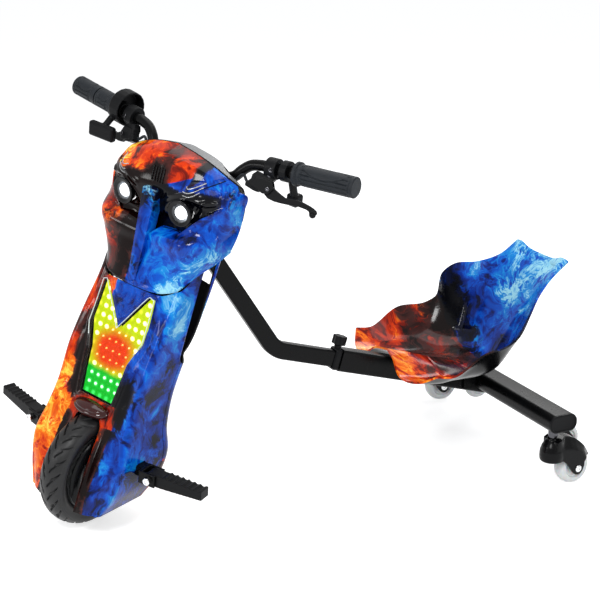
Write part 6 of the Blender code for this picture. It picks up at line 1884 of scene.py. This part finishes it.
def make_brakes():
    plane = lever_plane()
    blade = slab("blade", LEVER_OUTLINE, BLADE_THICKNESS, axis="Z")
    tip = primitive(bpy.ops.mesh.primitive_uv_sphere_add, "tip", segments=24, ring_count=16, radius=0.0054,
                    location=(0.0812, 0.0008, 0.0))
    bpy.ops.object.transform_apply(location=True, rotation=True, scale=True)
    lever = fused("lever", [blade, tip], 0.0006, 4)
    lever.data.transform(plane)
    for side, piece in both_sides(lever, "lever_blade"):
        settle(piece, TO_FRONT, side + "_brake", "black_plastic", "plastic",
               replaces=(side + "_brake_lever",),
               angle=60)

    flat = [slab("plate", PERCH_OUTLINE, PERCH_THICKNESS, axis="Z")]
    for way in (1, -1):
        flat.append(slab("ear", EAR_OUTLINE, EAR_THICKNESS, axis="Z"))
        flat[-1].data.transform(Matrix.Translation((0, 0, way * EAR_ASIDE)))
    for piece in flat:
        piece.data.transform(plane)
    half, radius = CLAMP_HALF_WIDTH, CLAMP_RADIUS
    ring = rounded_profile([(0.0, -half), (radius, -half), (radius, half), (0.0, half)], 0.0015, 3)[2:-2]
    ring = lathe("ring", ring, CLAMP_AT, BAR_OUT, steps=48, closed=False)
    barrel = lathe("barrel", BARREL_PROFILE, BARREL_END, BARREL_WAY, steps=32, closed=False)
    perch = fused("perch", [*flat, ring, barrel], 0.00065, 4)
    cut_out(perch, [rod("bore", BAR_RADIUS + FIT, -0.03, 0.03, CLAMP_AT, BAR_OUT, 40)])
    for side, piece in both_sides(perch, "lever_perch"):
        settle(piece, TO_FRONT, "steering", "black_plastic", "plastic", replaces=(side + "_brake_perch",),
               angle=60)

    screw = socket_screw("perch_screw", 0.0036, 0.002)
    for label, spot in PERCH_SCREWS:
        made = copy_to(screw, "spare", spot, (0, 0, 1))
        made.data.transform(plane)
        for side, piece in both_sides(made, label):
            settle(piece, TO_FRONT, "steering", "steel", "dark_steel")
    bpy.data.objects.remove(screw, do_unlink=True)
    sleeve = lathe("boot", BOOT_PROFILE, Vector(BARREL_END) + BARREL_WAY * FIT, BARREL_WAY, steps=32)
    for side, piece in both_sides(sleeve, "cable_boot"):
        settle(piece, TO_FRONT, "steering", "rubber", "rubber")


def make_casters():
    pattern = caster_cover()
    for side, way in SIDES.items():
        turned_place = caster_matrix(side)
        axle = Vector((way * CASTER_X, CASTER_Y + CASTER_TRAIL, REAR_GROUND + CASTER_RADIUS))
        wheel = lathe(side + "_caster_tyre", wheel_profile(CASTER_RADIUS, CASTER_WIDTH), axle, (1, 0, 0),
                      steps=96)
        settle(wheel, turned_place, side + "_caster_roll", "urethane", "urethane",
               replaces=(side + "_caster_wheel",))
        hood = linked(side + "_caster_cover", pattern.data.copy())
        hood.data.transform(Matrix.Translation((way * CASTER_X, CASTER_Y, 0.0)))
        settle(hood, turned_place, side + "_caster", "black_plastic", "hood_black",
               replaces=(side + "_caster_hood",), angle=50)
        for end, label in ((1, "out"), (-1, "in")):
            cap = lathe(f"{side}_axle_end_{label}", AXLE_END_PROFILE, axle + Vector((end * AXLE_END, 0, 0)),
                        (end, 0, 0), steps=40, closed=False)
            settle(cap, turned_place, side + "_caster", "steel", "chrome")
        roller = Vector((way * ROLLER_X, ROLLER_Y, ROLLER_Z))
        wheel = lathe(side + "_roller_tyre", wheel_profile(ROLLER_RADIUS, ROLLER_WIDTH), roller, (1, 0, 0),
                      steps=80)
        settle(wheel, TO_REAR, side + "_rear_roller", "urethane", "urethane", replaces=(side + "_roller",))
    bpy.data.objects.remove(pattern, do_unlink=True)


def make_moulded_parts():
    for side in SIDES:
        moulded(side + "_foot_peg", side + "_peg", "black_plastic", "plastic", voxel=0.0006, soften=3)
        moulded(side + "_peg_bracket", "steering", "black_paint", "paint", voxel=0.0008, soften=4)
        moulded(side + "_roller_bracket", "rear", "black_paint", "paint", voxel=0.0009, soften=4)
    for node, body, voxel, soften in (("throttle_housing", "steering", 0.0009, 14),
                                      ("switch_block", "steering", 0.0006, 4),
                                      ("lock_knob", "knob", 0.0006, 4), ("sleeve_collar", "rear", 0.0007, 4)):
        moulded(node, body, "black_plastic", "plastic", voxel=voxel, soften=soften)


# Studio

FLOOR_SIZE = 24.0
FLOOR_GLOW = 0.66
SKY_LIGHT = 0.42


def studio_floor():
    # seen by the camera it glows to white, but that glow lights nothing
    floor = primitive(bpy.ops.mesh.primitive_plane_add, "studio_floor", size=FLOOR_SIZE)
    finish = Finish("pale_floor", roughness=0.9, Base_Color=(0.8, 0.8, 0.8), Specular_IOR_Level=0.0)
    tree = finish.tree
    glow = by_view(tree, source(tree, "Emission", 0.0), source(tree, "Emission", FLOOR_GLOW))
    both = tree.nodes.new("ShaderNodeAddShader")
    tree.links.new(finish.shader.outputs[0], both.inputs[0])
    tree.links.new(glow, both.inputs[1])
    tree.links.new(both.outputs[0], tree.nodes["Material Output"].inputs[0])
    floor.data.materials.append(finish.material)


def source(tree, kind, strength):
    node = tree.nodes.new("ShaderNode" + kind)
    node.inputs["Strength"].default_value = strength
    return node


def by_view(tree, unseen, seen):
    # the second shader for what the camera sees directly, in a mirror or through glass, else the first
    path = tree.nodes.new("ShaderNodeLightPath")
    rays = ("Is Camera Ray", "Is Glossy Ray", "Is Transmission Ray")
    camera, glossy, through_glass = (Value(tree, path.outputs[name]) for name in rays)
    pick = tree.nodes.new("ShaderNodeMixShader")
    tree.links.new((camera + glossy + through_glass).low(1.0).socket, pick.inputs[0])
    tree.links.new(unseen.outputs[0], pick.inputs[1])
    tree.links.new(seen.outputs[0], pick.inputs[2])
    return pick.outputs[0]


def studio_world():
    world = bpy.data.worlds.new("studio")
    bpy.context.scene.world = world
    world.use_nodes = True
    tree = world.node_tree
    soft = tree.nodes["Background"]
    soft.inputs["Color"].default_value = (0.95, 0.97, 1.0, 1.0)
    soft.inputs["Strength"].default_value = SKY_LIGHT
    white = source(tree, "Background", 1.0)
    tree.links.new(by_view(tree, soft, white), tree.nodes["World Output"].inputs[0])


def softbox(name, place, size, power):
    light = bpy.data.lights.new(name, "AREA")
    light.shape = "RECTANGLE"
    light.size, light.size_y = size
    light.energy = power
    aimed(name, light, place, Vector(LIT_PLACE) - Vector(place))


LIT_PLACE = (0.0, 0.0, 0.3)


def add_lights():
    softbox("key_light", (1.5, -1.5, 2.1), (0.55, 0.55), 30)
    softbox("top_light", (-0.2, 0.3, 2.4), (1.7, 1.7), 23)
    softbox("side_light", (2.3, 0.9, 1.0), (0.35, 0.9), 12)
    softbox("front_light", (0.1, -2.6, 1.3), (0.5, 0.8), 14)
    softbox("back_light", (-1.6, 1.8, 1.6), (0.9, 0.9), 10)


dress_nodes()
add_camera()
make_cables()
make_column()
make_nose()
make_lamp()
make_head()
make_fin()
make_headlights()
make_handlebar()
make_grips()
make_brakes()
make_tyre()
make_covers()
make_screws()
make_frame()
make_seat()
make_casters()
make_moulded_parts()
studio_floor()
studio_world()
add_lights()
bpy.context.scene.view_settings.view_transform = "Standard"
